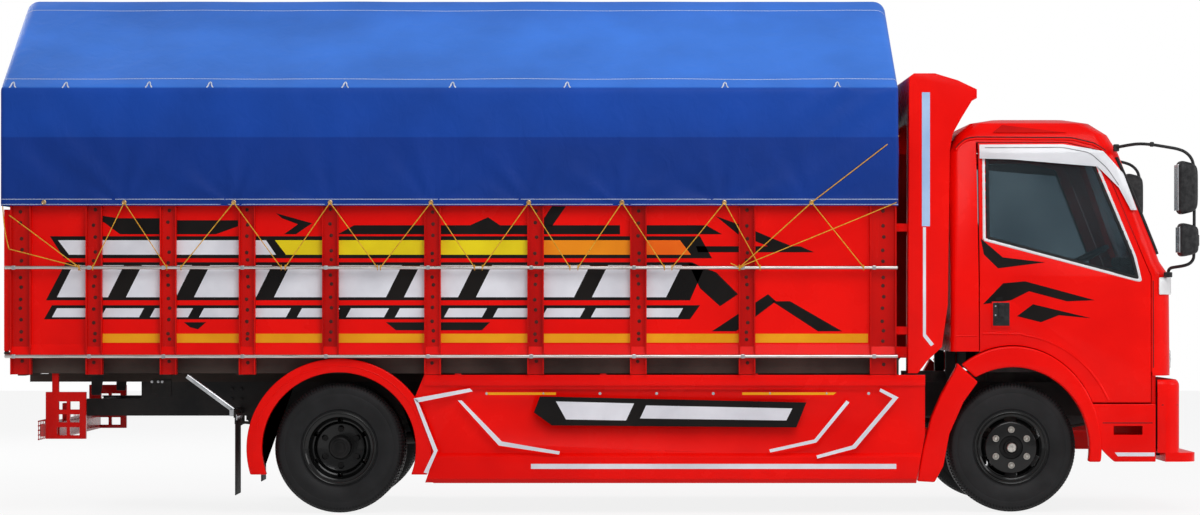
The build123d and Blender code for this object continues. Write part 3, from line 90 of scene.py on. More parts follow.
WHITE = (1, 1, 1, 1)
FLOOR_GLOW = 0.86
bpy.ops.mesh.primitive_plane_add(size=60, location=(0, 0, -0.002))
floor = bpy.context.object
floor.name = "floor"
floor_look, tree, surface = bare_look("studio_floor")
fed(tree, surface, {"Base Color": (0.80, 0.80, 0.80, 1), "Roughness": 0.9})
glow = wired(tree, "Emission", {"Color": WHITE})
rays = wired(tree, "LightPath").outputs
seen = wired(tree, "Math", {0: rays["Is Camera Ray"], 1: rays["Is Glossy Ray"]}, operation="MAXIMUM")
seen = wired(tree, "Math", {0: seen.outputs[0], 1: rays["Is Transmission Ray"]}, operation="MAXIMUM")
share = wired(tree, "Math", {0: seen.outputs[0], 1: FLOOR_GLOW}, operation="MULTIPLY")
mixed = wired(tree, "MixShader", {0: share.outputs[0], 1: surface.outputs[0], 2: glow.outputs[0]})
fed(tree, tree.nodes["Material Output"], {"Surface": mixed.outputs[0]})
floor.data.materials.append(floor_look)

sky = bpy.data.worlds.new("studio_sky")
bpy.context.scene.world = sky
sky.use_nodes = True
tree = sky.node_tree
plain_sky = fed(tree, tree.nodes["Background"], {"Color": (0.98, 0.98, 1.0, 1), "Strength": 0.50})
white_sky = wired(tree, "Background", {"Color": WHITE, "Strength": 1.0})
rays = wired(tree, "LightPath").outputs
seen = wired(tree, "Math", {0: rays["Is Camera Ray"], 1: rays["Is Transmission Ray"]}, operation="MAXIMUM")
choice = wired(tree, "MixShader", {0: seen.outputs[0], 1: plain_sky.outputs[0], 2: white_sky.outputs[0]})
fed(tree, tree.nodes["World Output"], {"Surface": choice.outputs[0]})

for name, place, aim, width, power in (
    ("high_lamp", (2.5, -9.5, 9.0), (0, 0, 1.6), 7.0, 640),
    ("front_lamp", (10.0, -3.0, 4.0), (2.5, 0, 1.2), 4.0, 170),
    ("back_lamp", (-8.0, 8.0, 7.0), (0, 0, 1.5), 6.0, 480),
):
    lamp = bpy.data.lights.new(name, "AREA")
    lamp.energy = power
    lamp.size = width
    stand = bpy.data.objects.new(name, lamp)
    stand.location = place
    stand.rotation_euler = (Vector(aim) - Vector(place)).to_track_quat("-Z", "Y").to_euler()
    bpy.context.scene.collection.objects.link(stand)

# ---- Chassis frame ------------------------------------------------------------------------
# Pressed steel channels riveted into a ladder, brushed with black chassis enamel.
# Road dust lies in the enamel, so the black drifts to a warm grey.


def toned(tree, value, *stops):
    """Tones that follow a value, each given with its place."""
    run = wired(tree, "ValToRGB", {"Fac": value})
    tones = run.color_ramp.elements
    while len(tones) < len(stops):
        tones.new(0.5)
    for tone, (place, colour) in zip(tones, stops):
        tone.position = place
    for tone, (place, colour) in zip(tones, stops):
        tone.color = (*colour, 1)
    return run.outputs["Color"]


def finish(name, low, high, grain, rough, metal=0.0, bump=0.0, fine=180.0, coat=0.0, stretch=(1, 1, 1), gleam=0.22):
    """A surface that drifts between two tones, with a fine grain raised in it."""
    look, tree, face = bare_look(name)
    place = wired(tree, "TexCoord").outputs["Object"]
    turn = wired(tree, "Mapping", {"Vector": place, "Scale": stretch}).outputs[0]
    drift = wired(tree, "TexNoise", {"Vector": turn, "Scale": grain, "Detail": 5}).outputs["Fac"]
    sheen = wired(tree, "MapRange", {"Value": drift, "To Min": max(0.02, rough - 0.08), "To Max": rough + 0.08})
    fed(tree, face, {
        "Base Color": toned(tree, drift, (0.36, low), (0.64, high)), "Roughness": sheen.outputs[0],
        "Metallic": metal, "Specular IOR Level": gleam, "Coat Weight": coat, "Coat Roughness": 0.06,
    })
    if bump:
        grit = wired(tree, "TexNoise", {"Vector": turn, "Scale": fine, "Detail": 3}).outputs["Fac"]
        raised = wired(tree, "Bump", {"Height": grit, "Strength": bump, "Distance": 0.002})
        fed(tree, face, {"Normal": raised.outputs[0]})
    return look


def coat_node(look, *names):
    """Give CAD nodes their finish."""
    for name in names:
        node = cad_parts[name]
        node.data.materials.clear()
        node.data.materials.append(look)


chassis_enamel = finish(
    "chassis_enamel", (0.010, 0.010, 0.011), (0.040, 0.036, 0.033), 3.5, 0.46, bump=0.25, fine=90,
)
coat_node(
    chassis_enamel, "chassis_frame", "cross_members", "front_axle_beam", "rear_axle_housing", "battery_box",
)
axle_iron = finish("axle_iron", (0.018, 0.017, 0.016), (0.075, 0.066, 0.058), 6.0, 0.62, bump=0.5, fine=60)
coat_node(
    axle_iron, "leaf_springs", "drive_shaft", "steering_knuckle_right", "steering_knuckle_left", "tie_rod",
)
silencer_steel = finish("silencer_steel", (0.20, 0.17, 0.14), (0.33, 0.31, 0.29), 5.0, 0.5, metal=0.8, bump=0.2)
coat_node(silencer_steel, "silencer")
cast_block = finish(
    "cast_block", (0.10, 0.10, 0.10), (0.21, 0.20, 0.19), 9.0, 0.7, metal=0.2, bump=0.7, fine=120,
)
coat_node(cast_block, "engine_block")
cab_underside = finish(
    "cab_floor_mat", (0.016, 0.016, 0.017), (0.035, 0.034, 0.033), 14.0, 0.8, bump=0.5, fine=140,
)
coat_node(cab_underside, "cab_floor", "engine_cover", "seat_bases")


SIDES = ((-1, "right"), (1, "left"))


def at_rest(name, body, look):
    """Name the active piece, settle its place into its mesh and hang it on a body."""
    piece = bpy.context.object
    piece.name = name
    bpy.ops.object.transform_apply(location=True, rotation=True, scale=True)
    piece.data.materials.clear()
    piece.data.materials.append(look)
    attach(piece, body)
    return piece


def picked(*pieces):
    """Leave only these pieces selected, with the first of them active."""
    bpy.ops.object.select_all(action="DESELECT")
    for piece in pieces:
        piece.select_set(True)
    bpy.context.view_layer.objects.active = pieces[0]


def joined(pieces, name):
    """Join loose pieces into one and leave it active."""
    picked(*pieces)
    if len(pieces) > 1:
        bpy.ops.object.join()
    pieces[0].name = name
    return pieces[0]


def fitted(pieces, name, body, look):
    """Join loose pieces, then settle the one they make and hang it on a body."""
    joined(pieces, name)
    return at_rest(name, body, look)


def bevelled(piece, width, segments=2, angle=None):
    """Round over the active piece's edges, or only those sharper than an angle."""
    edge = piece.modifiers.new("edge", "BEVEL")
    edge.width = width
    edge.segments = segments
    if angle:
        edge.limit_method = "ANGLE"
        edge.angle_limit = math.radians(angle)
    bpy.ops.object.modifier_apply(modifier=edge.name)
    return piece


def faced_out(merge=0.0):
    """Turn the active piece's faces outwards, once points nearer than the merge are made one."""
    bpy.ops.object.mode_set(mode="EDIT")
    bpy.ops.mesh.select_all(action="SELECT")
    if merge:
        bpy.ops.mesh.remove_doubles(threshold=merge)
    bpy.ops.mesh.normals_make_consistent(inside=False)
    bpy.ops.object.mode_set(mode="OBJECT")


def thickened(depth):
    """Draw the active sheet out sideways into a closed slab."""
    bpy.ops.object.mode_set(mode="EDIT")
    bpy.ops.mesh.select_all(action="SELECT")
    bpy.ops.mesh.extrude_region_move(TRANSFORM_OT_translate={"value": (0, depth, 0)})
    faced_out()


def flat_cut(outline, y):
    """A flat sheet cut to an outline of X and Z, standing at y."""
    bpy.ops.mesh.primitive_circle_add(vertices=len(outline), radius=1, fill_type="NGON")
    cut = bpy.context.object
    for vertex, (x, z) in zip(cut.data.vertices, outline):
        vertex.co = (x, y, z)
    return cut


def sheet_cut(outline, y, depth, bevel=0.0):
    """A flat cut with its face at y, made thick away from the middle of the truck."""
    cut = flat_cut(outline, y)
    thickened(-depth if y < 0 else depth)
    return bevelled(cut, bevel, 2, 30) if bevel else cut


def box_at(low, high, bevel):
    """A pressed or cast block between two corners, with its edges rounded over."""
    low, high = Vector(low), Vector(high)
    bpy.ops.mesh.primitive_cube_add(size=1, location=(low + high) / 2)
    block = bpy.context.object
    block.scale = high - low
    bpy.ops.object.transform_apply(location=True, rotation=True, scale=True)
    return bevelled(block, bevel)


def rod(sides, radius, length, place, turn=(0, 0, 0)):
    """A short round or many-sided bar about its middle."""
    bpy.ops.mesh.primitive_cylinder_add(
        vertices=sides, radius=radius, depth=length, location=place, rotation=turn,
    )
    return bpy.context.object


def copied(source, move):
    """A copy of a piece with a mesh of its own, moved within it."""
    copy = source.copy()
    copy.data = source.data.copy()
    copy.data.transform(move)
    bpy.context.scene.collection.objects.link(copy)
    return copy


def bolt(radius, height, sides=6):
    """A hexagon head on a washer, its foot at the origin, pointing along +Z."""
    washer = rod(18, radius * 1.5, height * 0.3, (0, 0, height * 0.15))
    head = rod(sides, radius, height * 0.7, (0, 0, height * 0.65))
    bpy.ops.object.mode_set(mode="EDIT")
    bpy.ops.mesh.select_all(action="DESELECT")
    bpy.ops.object.mode_set(mode="OBJECT")
    for face in head.data.polygons:
        face.select = face.normal.z > 0.9
    bpy.ops.object.mode_set(mode="EDIT")
    bpy.ops.mesh.select_mode(type="FACE")
    bpy.ops.mesh.inset(thickness=radius * 0.18, depth=height * 0.12)
    bpy.ops.object.mode_set(mode="OBJECT")
    bpy.ops.object.select_all(action="DESELECT")
    made = joined([washer, head], "bolt_pattern_piece")
    bpy.ops.object.transform_apply(location=True, rotation=True, scale=True)
    return made


def set_round(pattern, places, name, outward, last=True):
    """Copy a pattern to many places, each copy turned so that its own +Z looks outward."""
    turn = Vector(outward).to_track_quat("Z", "X").to_matrix().to_4x4()
    copies = [copied(pattern, Matrix.Translation(Vector(place)) @ turn) for place in places]
    if last:
        bpy.data.objects.remove(pattern, do_unlink=True)
    return joined(copies, name)


def bent_tube(points, radius, name, sides):
    """A round bar or tube that follows its points with rounded corners, closed at both ends."""
    run = bpy.data.curves.new(name, "CURVE")
    run.dimensions = "3D"
    line = run.splines.new("NURBS")
    line.points.add(len(points) - 1)
    for point, place in zip(line.points, points):
        point.co = (*place, 1)
    line.order_u = 3
    line.use_endpoint_u = True
    run.bevel_depth = radius
    run.bevel_resolution = max(1, sides // 4 - 1)
    run.resolution_u = 8
    run.use_fill_caps = True
    bar = bpy.data.objects.new(name, run)
    bpy.context.scene.collection.objects.link(bar)
    picked(bar)
    bpy.ops.object.convert(target="MESH")
    bpy.ops.object.shade_smooth_by_angle(angle=math.radians(50))
    return bpy.context.object


# Gusset plates and rivets where the spring hangers meet the rails
rivet = bolt(0.011, 0.010)
rivet_places = [
    (x, -0.4255, z) for x in (-2.34, -2.28, -0.93, -0.87, 1.87, 1.93, 2.05, 3.10) for z in (0.625, 0.69, 0.755)
]
set_round(rivet, rivet_places, "frame_rivets_right", (0, -1, 0), last=False)
at_rest("frame_rivets_right", "chassis", chassis_enamel)
set_round(rivet, [(x, -y, z) for x, y, z in rivet_places], "frame_rivets_left", (0, 1, 0))
at_rest("frame_rivets_left", "chassis", chassis_enamel)
zinc_bolt = finish("zinc_bolt", (0.40, 0.40, 0.41), (0.58, 0.58, 0.60), 40.0, 0.30, metal=1.0, bump=0.1)
for side, word in SIDES:
    plate = sheet_cut(
        [
            (-2.856, 0.812), (-2.725, 0.812), (-2.725, 0.712), (-2.740, 0.699), (-2.812, 0.699),
            (-2.820, 0.726), (-2.856, 0.726),
        ],
        side * 0.4252, 0.006, 0.002,
    )
    hanger = sheet_cut([(-3.21, 0.72), (-3.21, 0.86), (-3.13, 0.86), (-3.15, 0.72)], side * 0.60, 0.008, 0.002)
    fitted([plate, hanger], "frame_gussets_" + word, "chassis", chassis_enamel)
    set_round(
        bolt(0.0055, 0.006), [(x, side * 0.4312, 0.800) for x in (-2.849, -2.809, -2.784)],
        "gusset_bolts_" + word, (0, side, 0),
    )
    at_rest("gusset_bolts_" + word, "chassis", zinc_bolt)

# ---- Fuel tank and battery box ------------------------------------------------------------
# A pressed steel tank and a battery box hung on the rails, each held by two straps.
# Both are enamelled dark grey, with the straps and the filler cap left bright.
tank_enamel = finish(
    "tank_enamel", (0.022, 0.024, 0.027), (0.050, 0.050, 0.052), 4.0, 0.38, bump=0.15, coat=0.2,
)
coat_node(tank_enamel, "fuel_tank")
bright_strap = finish("bright_strap", (0.34, 0.35, 0.36), (0.52, 0.53, 0.55), 18.0, 0.32, metal=1.0, bump=0.1)
tank_low, tank_high = (Vector(corner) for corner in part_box("fuel_tank"))
straps = []
for x in (tank_low.x + 0.11, tank_high.x - 0.16):
    straps.append(
        box_at(
            (x, tank_low.y - 0.004, tank_low.z - 0.004), (x + 0.05, tank_low.y + 0.02, tank_high.z + 0.004),
            0.0015,
        )
    )
    straps.append(
        box_at((x, tank_low.y, tank_high.z - 0.001), (x + 0.05, tank_high.y, tank_high.z + 0.004), 0.0015)
    )
cap_pattern = bolt(0.034, 0.05, sides=16)
straps.append(
    set_round(cap_pattern, [(tank_low.x + 0.30, tank_low.y + 0.10, tank_high.z - 0.002)], "filler", (0, 0, 1))
)
fitted(straps, "tank_straps", "chassis", bright_strap)
box_low, box_high = (Vector(corner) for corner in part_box("battery_box"))
lid = box_at(
    (box_low.x - 0.006, box_low.y, box_high.z - 0.05),
    (box_high.x + 0.006, box_high.y + 0.006, box_high.z + 0.004), 0.004,
)
clips = [
    box_at((x, box_high.y, box_high.z - 0.10), (x + 0.03, box_high.y + 0.010, box_high.z - 0.03), 0.003)
    for x in (box_low.x + 0.1, box_high.x - 0.13)
]
fitted([lid] + clips, "battery_lid", "chassis", chassis_enamel)

# ---- Cargo bed ----------------------------------------------------------------------------
# A steel deck on cross bearers; between the posts its side member shows, primed brown and painted darker as painted
# shade of its recessed channel.
# The headboard, walls and posts above it are sprayed gloss red; the posts take a darker copy of that red, painted
# shade between their flanges.
# Brown primer darkened with painted shade, for the side member recessed behind the posts.
shaded_bed_primer = finish("shaded_bed_primer", (0.030, 0.021, 0.017), (0.070, 0.052, 0.043), 3.0, 0.62, bump=0.3, fine=70)
coat_node(shaded_bed_primer, "bed_floor")
body_red = finish(
    "body_red", (0.800, 0.0025, 0.0010), (0.900, 0.0040, 0.0015), 2.2, 0.26, bump=0.05, fine=260, coat=0.03,
    gleam=0.10,
)
coat_node(body_red, "headboard", "side_walls", "tailgate")
# A darker copy of the body red, painted shade: on the posts' webs, on the red guard and lattice under the deck, and
# on the roof cap's relief.
shade_darkened_red = finish(
    "post_red", (0.480, 0.0020, 0.0010), (0.660, 0.0040, 0.0015), 3.4, 0.26, bump=0.06, fine=240, coat=0.04,
    stretch=(1, 1, 0.3), gleam=0.12,
)
coat_node(shade_darkened_red, "wall_posts")
bow_grey = finish("bow_grey", (0.20, 0.20, 0.21), (0.32, 0.32, 0.33), 12.0, 0.5, metal=0.4, bump=0.2)
coat_node(bow_grey, "cover_frame")

# ---- Painted livery on the walls ----------------------------------------------------------
# Sprayed stripes behind the posts: white, yellow and two oranges above, amber at the foot.
# Black angular flashes and slanted white bars fill the middle band. Each is a thin coat of paint.
PHOTO_SCALE = 6.19


def on_side(px, py):
    """A place on the near side from its place in the picture, in metres."""
    return ((px - 600) * PHOTO_SCALE / 1000, (513 - py) * PHOTO_SCALE / 1000)


def livery_paint(name, low, high):
    return finish(name, low, high, 3.0, 0.30, bump=0.05, fine=260, coat=0.04, gleam=0.12)


stripe_white = livery_paint("stripe_white", (0.66, 0.67, 0.72), (0.80, 0.81, 0.86))
stripe_yellow = livery_paint("stripe_yellow", (0.76, 0.58, 0.010), (0.86, 0.70, 0.012))
stripe_orange = livery_paint("stripe_orange", (0.80, 0.235, 0.008), (0.88, 0.290, 0.010))
stripe_ember = livery_paint("stripe_ember", (0.80, 0.120, 0.006), (0.86, 0.155, 0.008))
stripe_amber = livery_paint("stripe_amber", (0.80, 0.315, 0.006), (0.90, 0.385, 0.010))
flash_black = livery_paint("flash_black", (0.004, 0.003, 0.003), (0.009, 0.007, 0.006))

WALL_FACE = 1.055
LIVERY = (
    # paint, height of the coat over the wall, outlines in picture places
    (flash_black, 0.0010, (
        ((50, 236), (700, 236), (712, 258), (64, 258)),
        ((86, 213), (118, 218), (160, 218), (160, 234), (120, 234), (104, 222), (92, 221)),
        ((170, 220), (238, 220), (238, 226), (216, 234), (172, 234)),
        ((276, 213), (312, 223), (296, 234), (284, 234), (298, 224), (282, 218)),
        ((338, 234), (354, 225), (470, 225), (488, 217), (500, 225), (620, 225), (620, 234)),
        ((640, 225), (706, 225), (722, 234), (640, 234)),
        ((540, 224), (552, 206), (566, 206), (552, 226)),
        ((716, 216), (744, 226), (772, 238), (792, 246), (768, 246), (738, 234)),
        ((696, 246), (800, 246), (814, 252), (698, 252)),
        ((688, 262), (716, 272), (738, 294), (720, 306), (700, 288)),
        ((712, 331), (768, 294), (776, 301), (736, 331)),
        ((772, 301), (790, 301), (842, 331), (818, 331)),
        ((386, 322), (470, 322), (490, 322), (482, 330), (396, 330)),
        ((184, 322), (206, 322), (198, 329), (190, 327)),
        ((46, 300), (66, 262), (692, 262), (704, 268), (690, 300)),
        ((44, 319), (52, 305), (700, 305), (690, 319)),
    )),
    (stripe_white, 0.0018, (((58, 240), (266, 240), (276, 254.5), (69, 254.5)),)),
    (stripe_yellow, 0.0018, (((275, 240), (530, 240), (530, 254.5), (286, 254.5)),)),
    (stripe_orange, 0.0018, (((531, 240), (631, 240), (631, 254.5), (531, 254.5)),)),
    (stripe_ember, 0.0018, (((632, 240), (680, 240), (691, 254.5), (632, 254.5)),)),
    (stripe_amber, 0.0014, (((102, 333.5), (868, 333.5), (868, 342.5), (102, 342.5)),)),
)
BARS = ((57, 61), (126, 60), (194, 72), (274, 122), (404, 64), (476, 108), (592, 84))
SKIN_GAP = 0.0002


def sprayed(outline, side, face_y, lift):
    """A coat of paint cut to an outline in picture places, on one side of the truck."""
    return sheet_cut([on_side(*place) for place in outline], side * (face_y + SKIN_GAP), lift)


def hung_coats(coats, prefix, word):
    """Join the coats of each paint and hang them on the chassis."""
    for look in dict.fromkeys(paint for paint, cut in coats):
        cuts = [cut for paint, cut in coats if paint == look]
        fitted(cuts, prefix + look.name + "_" + word, "chassis", look)


for side, word in SIDES:
    coats = [
        (paint, sprayed(outline, side, WALL_FACE, lift)) for paint, lift, outlines in LIVERY for outline in outlines
    ]
    slants = [((x, 297), (x + 16, 265), (x + width + 6, 265), (x + width - 10, 297)) for x, width in BARS]
    slants += [((x, 317), (x + 5, 308), (x + 43, 308), (x + 38, 317)) for x in range(52, 52 + 13 * 49, 49)]
    coats += [(stripe_white, sprayed(outline, side, WALL_FACE, 0.0018)) for outline in slants]
    hung_coats(coats, "", word)

# ---- Post hardware ------------------------------------------------------------------------
# Each channel post is bolted to the wall through its web, in an uneven column of bolts.
# The bolt heads are painted over with the post, in a darker red.
POSTS = (
    (-3.645, 0.127), (-3.179, 0.102), (-2.720, 0.102), (-2.232, 0.102), (-1.717, 0.102),
    (-1.086, 0.102), (-0.449, 0.102), (0.186, 0.102), (0.858, 0.102), (1.669, 0.163),
)
post_bolt = bolt(0.0075, 0.006)
bolt_iron = finish("bolt_iron", (0.055, 0.012, 0.010), (0.12, 0.02, 0.016), 40.0, 0.5, metal=0.3, bump=0.2)
uneven = random.Random(11)
column = (
    2.245, 2.19, 2.12, 2.04, 1.955, 1.87, 1.79, 1.71, 1.62, 1.56, 1.47, 1.41, 1.33, 1.27, 1.19, 1.12, 1.07,
    1.00, 0.93,
)
for side, word in SIDES:
    places = []
    for x, width in POSTS:
        for z in column:
            if x == -1.717 and z < 0.97:
                continue
            places.append(
                (
                    x + width / 2 + uneven.uniform(-0.006, 0.006), side * (WALL_FACE + 0.008),
                    z + uneven.uniform(-0.012, 0.012),
                )
            )
    set_round(post_bolt, places, "post_bolts_" + word, (0, side, 0), last=side > 0)
    at_rest("post_bolts_" + word, "chassis", bolt_iron)

# ---- Rub rails ----------------------------------------------------------------------------
# Two long round rails of stainless tube along each side, brushed lengthwise.
# Bent clips hold them to the posts, and small domes close their ends.
brushed_rail = finish(
    "brushed_rail", (0.36, 0.33, 0.31), (0.66, 0.64, 0.62), 9.0, 0.28, metal=1.0, bump=0.12, fine=50,
    stretch=(0.5, 30, 30),
)
coat_node(brushed_rail, "rub_rails")
coat_node(bright_strap, "fender_stays")
for side, word in SIDES:
    clips = []
    for x, width in POSTS:
        for z in (0.972, 1.520):
            clips.append(
                box_at(
                    (x + 0.012, side * 1.111 - 0.0128, z - 0.0128),
                    (x + 0.036, side * 1.111 + 0.0128, z + 0.0128), 0.004,
                )
            )
    for z in (0.972, 1.520):
        for x in (-3.674, 1.836):
            bpy.ops.mesh.primitive_uv_sphere_add(
                segments=16, ring_count=8, radius=0.0112, location=(x, side * 1.111, z),
            )
            dome = bpy.context.object
            dome.scale = (0.35, 1, 1)
            clips.append(dome)
    fitted(clips, "rail_clips_" + word, "chassis", bright_strap)

# ---- Cover --------------------------------------------------------------------------------
# One tarpaulin of coated blue cloth, drawn over the bows and roped down at its hem.
# The roof is painted much lighter than the sides, as painted light falling from above; creases fan out from the
# eyelets where the ropes pull.
COVER_REAR, COVER_FRONT = -3.702, 1.843
HEM, EAVE, RIDGE = 1.902, 2.631, 3.250
SIDE_Y, RIDGE_Y = 1.117, 0.060
SLOPE = math.hypot(SIDE_Y - RIDGE_Y, RIDGE - EAVE)
EAVE_S = RIDGE_Y + SLOPE
HEM_S = EAVE_S + EAVE - HEM
EYELETS = (45.5, 125.5, 234.7, 330.9, 431.5, 529.0, 621.9, 724.0, 811.0)
eyelet_x = [on_side(px, 203)[0] for px in EYELETS]
BOWS = (-3.60, -2.56, -1.52, -0.48, 0.56, 1.60)


def sharp_line(s):
    """Where the stretched cloth would lie at a distance s round it from the ridge, with sharp folds."""
    side = -1 if s < 0 else 1
    run = abs(s)
    if run <= RIDGE_Y:
        return side * run, RIDGE
    if run <= EAVE_S:
        share = (run - RIDGE_Y) / SLOPE
        return side * (RIDGE_Y + (SIDE_Y - RIDGE_Y) * share), RIDGE - (RIDGE - EAVE) * share
    return side * SIDE_Y, EAVE - (run - EAVE_S)


def cloth_line(s):
    """The same with its folds eased over the tubes, and the direction that faces out of it."""
    ease = 0.022
    spots = [sharp_line(s + ease * k / 3) for k in range(-3, 4)]
    y = sum(spot[0] for spot in spots) / 7
    z = sum(spot[1] for spot in spots) / 7
    ahead, behind = sharp_line(s + ease), sharp_line(s - ease)
    out = Vector((0, -(ahead[1] - behind[1]), ahead[0] - behind[0])).normalized()
    return y, z, out


def cloth_swell(x, s):
    """How far the cloth stands out of its line, from slack, the ropes' pull and the folded hem."""
    run = abs(s)
    seed = 5.0 if s < 0 else 17.0
    calm = min(1.0, abs(x - COVER_REAR) / 0.25, abs(COVER_FRONT - x) / 0.25)
    if run < EAVE_S:
        bay = min(abs(x - bow) for bow in BOWS)
        slack = -0.010 * min(1.0, bay / 0.5) * math.sin(math.pi * run / EAVE_S)
        ripple = 0.004 * noise.noise(Vector((x * 1.6, run * 3.0, seed)))
        return (slack + ripple) * calm
    drop = run - EAVE_S
    height = HEM_S - run
    swell = 0.006 * noise.noise(Vector((x * 1.1, drop * 1.7, seed)))
    swell += 0.0025 * noise.noise(Vector((x * 7, drop * 3.0, seed + 3)))
    for place in eyelet_x[1:]:
        side_step, up = x - place, height - 0.017
        reach = math.hypot(side_step, up)
        if reach > 0.95:
            continue
        strength = 0.65 + 0.55 * abs(noise.noise(Vector((place * 3.1, 0, seed))))
        if place < -1.9:
            strength *= 1.7
        fan = math.atan2(side_step, up + 0.02)
        folds = math.cos(7.0 * fan + place * 5) + 0.7 * math.cos(12.0 * fan - place * 3)
        swell += 0.0085 * strength * folds * math.exp(-reach / 0.33) * (1 - math.exp(-reach / 0.07))
        swell -= 0.005 * math.exp(-(reach / 0.05) ** 2)
    if x > 1.1:
        diagonal = (x - 1.1) * 0.8 + drop * 1.1
        swell += 0.006 * math.sin(diagonal * 26) * math.exp(-drop / 0.35) * min(1, (x - 1.1) / 0.3)
    if x < -2.9:
        lean = (x + 3.7) * 0.9 - drop * 0.75
        swell += 0.008 * math.sin(lean * 21) * math.exp(-abs(drop - 0.45) / 0.3) * min(1, (-2.9 - x) / 0.3)
    if height < 0.045:
        swell += 0.003 * math.cos(math.pi / 2 * (height - 0.022) / 0.023) + 0.002
    return max(-0.009, min(0.030, swell * (0.35 + 0.65 * calm) + 0.004))


def cloth_point(x, s, lift=0.0):
    """A point on the finished cover's outside, with its ends rounded in."""
    y, z, out = cloth_line(s)
    share = min(1.0, abs(s) / EAVE_S)
    corner = 0.085 - 0.060 * share
    inset = 0.0
    near = min(x - COVER_REAR, COVER_FRONT - x)
    if near < corner:
        inset = corner - math.sqrt(max(0.0, corner**2 - (corner - near) ** 2))
    step = cloth_swell(x, s) + lift - inset
    return Vector((x, y, z)) + out * step


def spread(low, high, count):
    """Even steps, with extra ones close to both ends."""
    steps = [low + (high - low) * k / count for k in range(count + 1)]
    for gap in (0.06, 0.035, 0.015, 0.004):
        steps += [low + gap, high - gap]
    return sorted(steps)


def laid_out(name, points, faces):
    """A mesh from its points and faces, left selected and active."""
    mesh = bpy.data.meshes.new(name)
    mesh.from_pydata([tuple(point) for point in points], [], faces)
    piece = bpy.data.objects.new(name, mesh)
    bpy.context.scene.collection.objects.link(piece)
    picked(piece)
    return piece


columns = spread(COVER_REAR, COVER_FRONT, 210)
rows_side = [EAVE_S + (HEM_S - EAVE_S) * k / 30 for k in range(1, 31)] + [HEM_S - 0.012, HEM_S - 0.034]
rows_roof = [EAVE_S * k / 20 for k in range(1, 21)] + [EAVE_S - 0.02, RIDGE_Y]
half_rows = sorted(rows_side + rows_roof)
rows = [-s for s in reversed(half_rows)] + [0.0] + half_rows
points, faces = [], []
for x in columns:
    points += [cloth_point(x, s) for s in rows]
wide = len(rows)
for i in range(len(columns) - 1):
    for j in range(wide - 1):
        a = i * wide + j
        faces.append((a, a + 1, a + wide + 1, a + wide))
roof_rows = [j for j, s in enumerate(rows) if abs(s) <= EAVE_S + 1e-6]
drops = sorted(rows_side)
for i, outward in ((0, -1), (len(columns) - 1, 1)):
    below = {}
    for j in roof_rows:
        top = points[i * wide + j]
        for k, s in enumerate(drops):
            share = (s - EAVE_S) / (HEM_S - EAVE_S)
            if j in (roof_rows[0], roof_rows[-1]):
                side_row = min(range(wide), key=lambda r: abs(rows[r] - (s if j == roof_rows[-1] else -s)))
                below[j, k] = i * wide + side_row
                continue
            ripple = 0.010 * noise.noise(Vector((top.y * 4, share * 2, 9.0 * outward)))
            ripple *= math.sin(math.pi * min(1, share + 0.1))
            bulge = 0.008 * math.sin(math.pi * share) * (1 - abs(top.y) / SIDE_Y)
            below[j, k] = len(points)
            points.append(
                Vector((columns[i] + outward * max(0.0, bulge + ripple), top.y, top.z + (HEM - top.z) * share))
            )
    for a, b in zip(roof_rows[:-1], roof_rows[1:]):
        chain_a = [i * wide + a] + [below[a, k] for k in range(len(drops))]
        chain_b = [i * wide + b] + [below[b, k] for k in range(len(drops))]
        for k in range(len(drops)):
            faces.append((chain_a[k], chain_a[k + 1], chain_b[k + 1], chain_b[k]))
cover = laid_out("cover_cloth", points, faces)
faced_out(0.0002)
middle_face = min(cover.data.polygons, key=lambda f: (f.center - Vector((0, 0, 3.25))).length)
if middle_face.normal.z < 0:
    cover.data.flip_normals()
thin = cover.modifiers.new("cloth", "SOLIDIFY")
thin.thickness = 0.003
thin.offset = -1
bpy.ops.object.modifier_apply(modifier=thin.name)
bpy.ops.object.shade_smooth_by_angle(angle=math.radians(50))

# The sides are darker in a band above the hem, and the roof is painted much lighter than the sides: painted light
# from above.
CLOTH_TONES = (
    # share of the height from hem to ridge, colour
    (0.0, (0.0025, 0.033, 0.235)), (0.312, (0.0030, 0.035, 0.250)), (0.316, (0.0050, 0.052, 0.330)),
    (0.538, (0.0060, 0.058, 0.360)), (0.545, (0.040, 0.180, 0.680)), (0.80, (0.046, 0.200, 0.740)),
    (1.0, (0.038, 0.170, 0.660)),
)
cover_look, tree, cloth = bare_look("coated_blue_cloth")
where = wired(tree, "TexCoord").outputs["Object"]
height = wired(tree, "SeparateXYZ", {0: where}).outputs["Z"]
by_height = wired(tree, "MapRange", {"Value": height, "From Min": HEM, "From Max": RIDGE}).outputs[0]
fading = wired(tree, "TexNoise", {"Vector": where, "Scale": 1.7, "Detail": 6}).outputs["Fac"]
tone = wired(tree, "MapRange", {
    "Value": fading, "From Min": 0.3, "From Max": 0.7, "To Min": 0.88, "To Max": 1.14,
}).outputs[0]
tinted = wired(tree, "VectorMath", {0: toned(tree, by_height, *CLOTH_TONES), "Scale": tone}, operation="SCALE")
threads = [
    wired(tree, "TexWave", {"Vector": where, "Scale": 110, "Distortion": 0.6}, bands_direction=way).outputs["Fac"]
    for way in "XZ"
]
weave = wired(tree, "Math", {0: threads[0], 1: threads[1]}, operation="MULTIPLY").outputs[0]
woven = wired(tree, "Bump", {"Height": weave, "Strength": 0.12, "Distance": 0.0008}).outputs[0]
pulled = wired(tree, "Mapping", {"Vector": where, "Scale": (1.0, 1.0, 0.75)}).outputs[0]
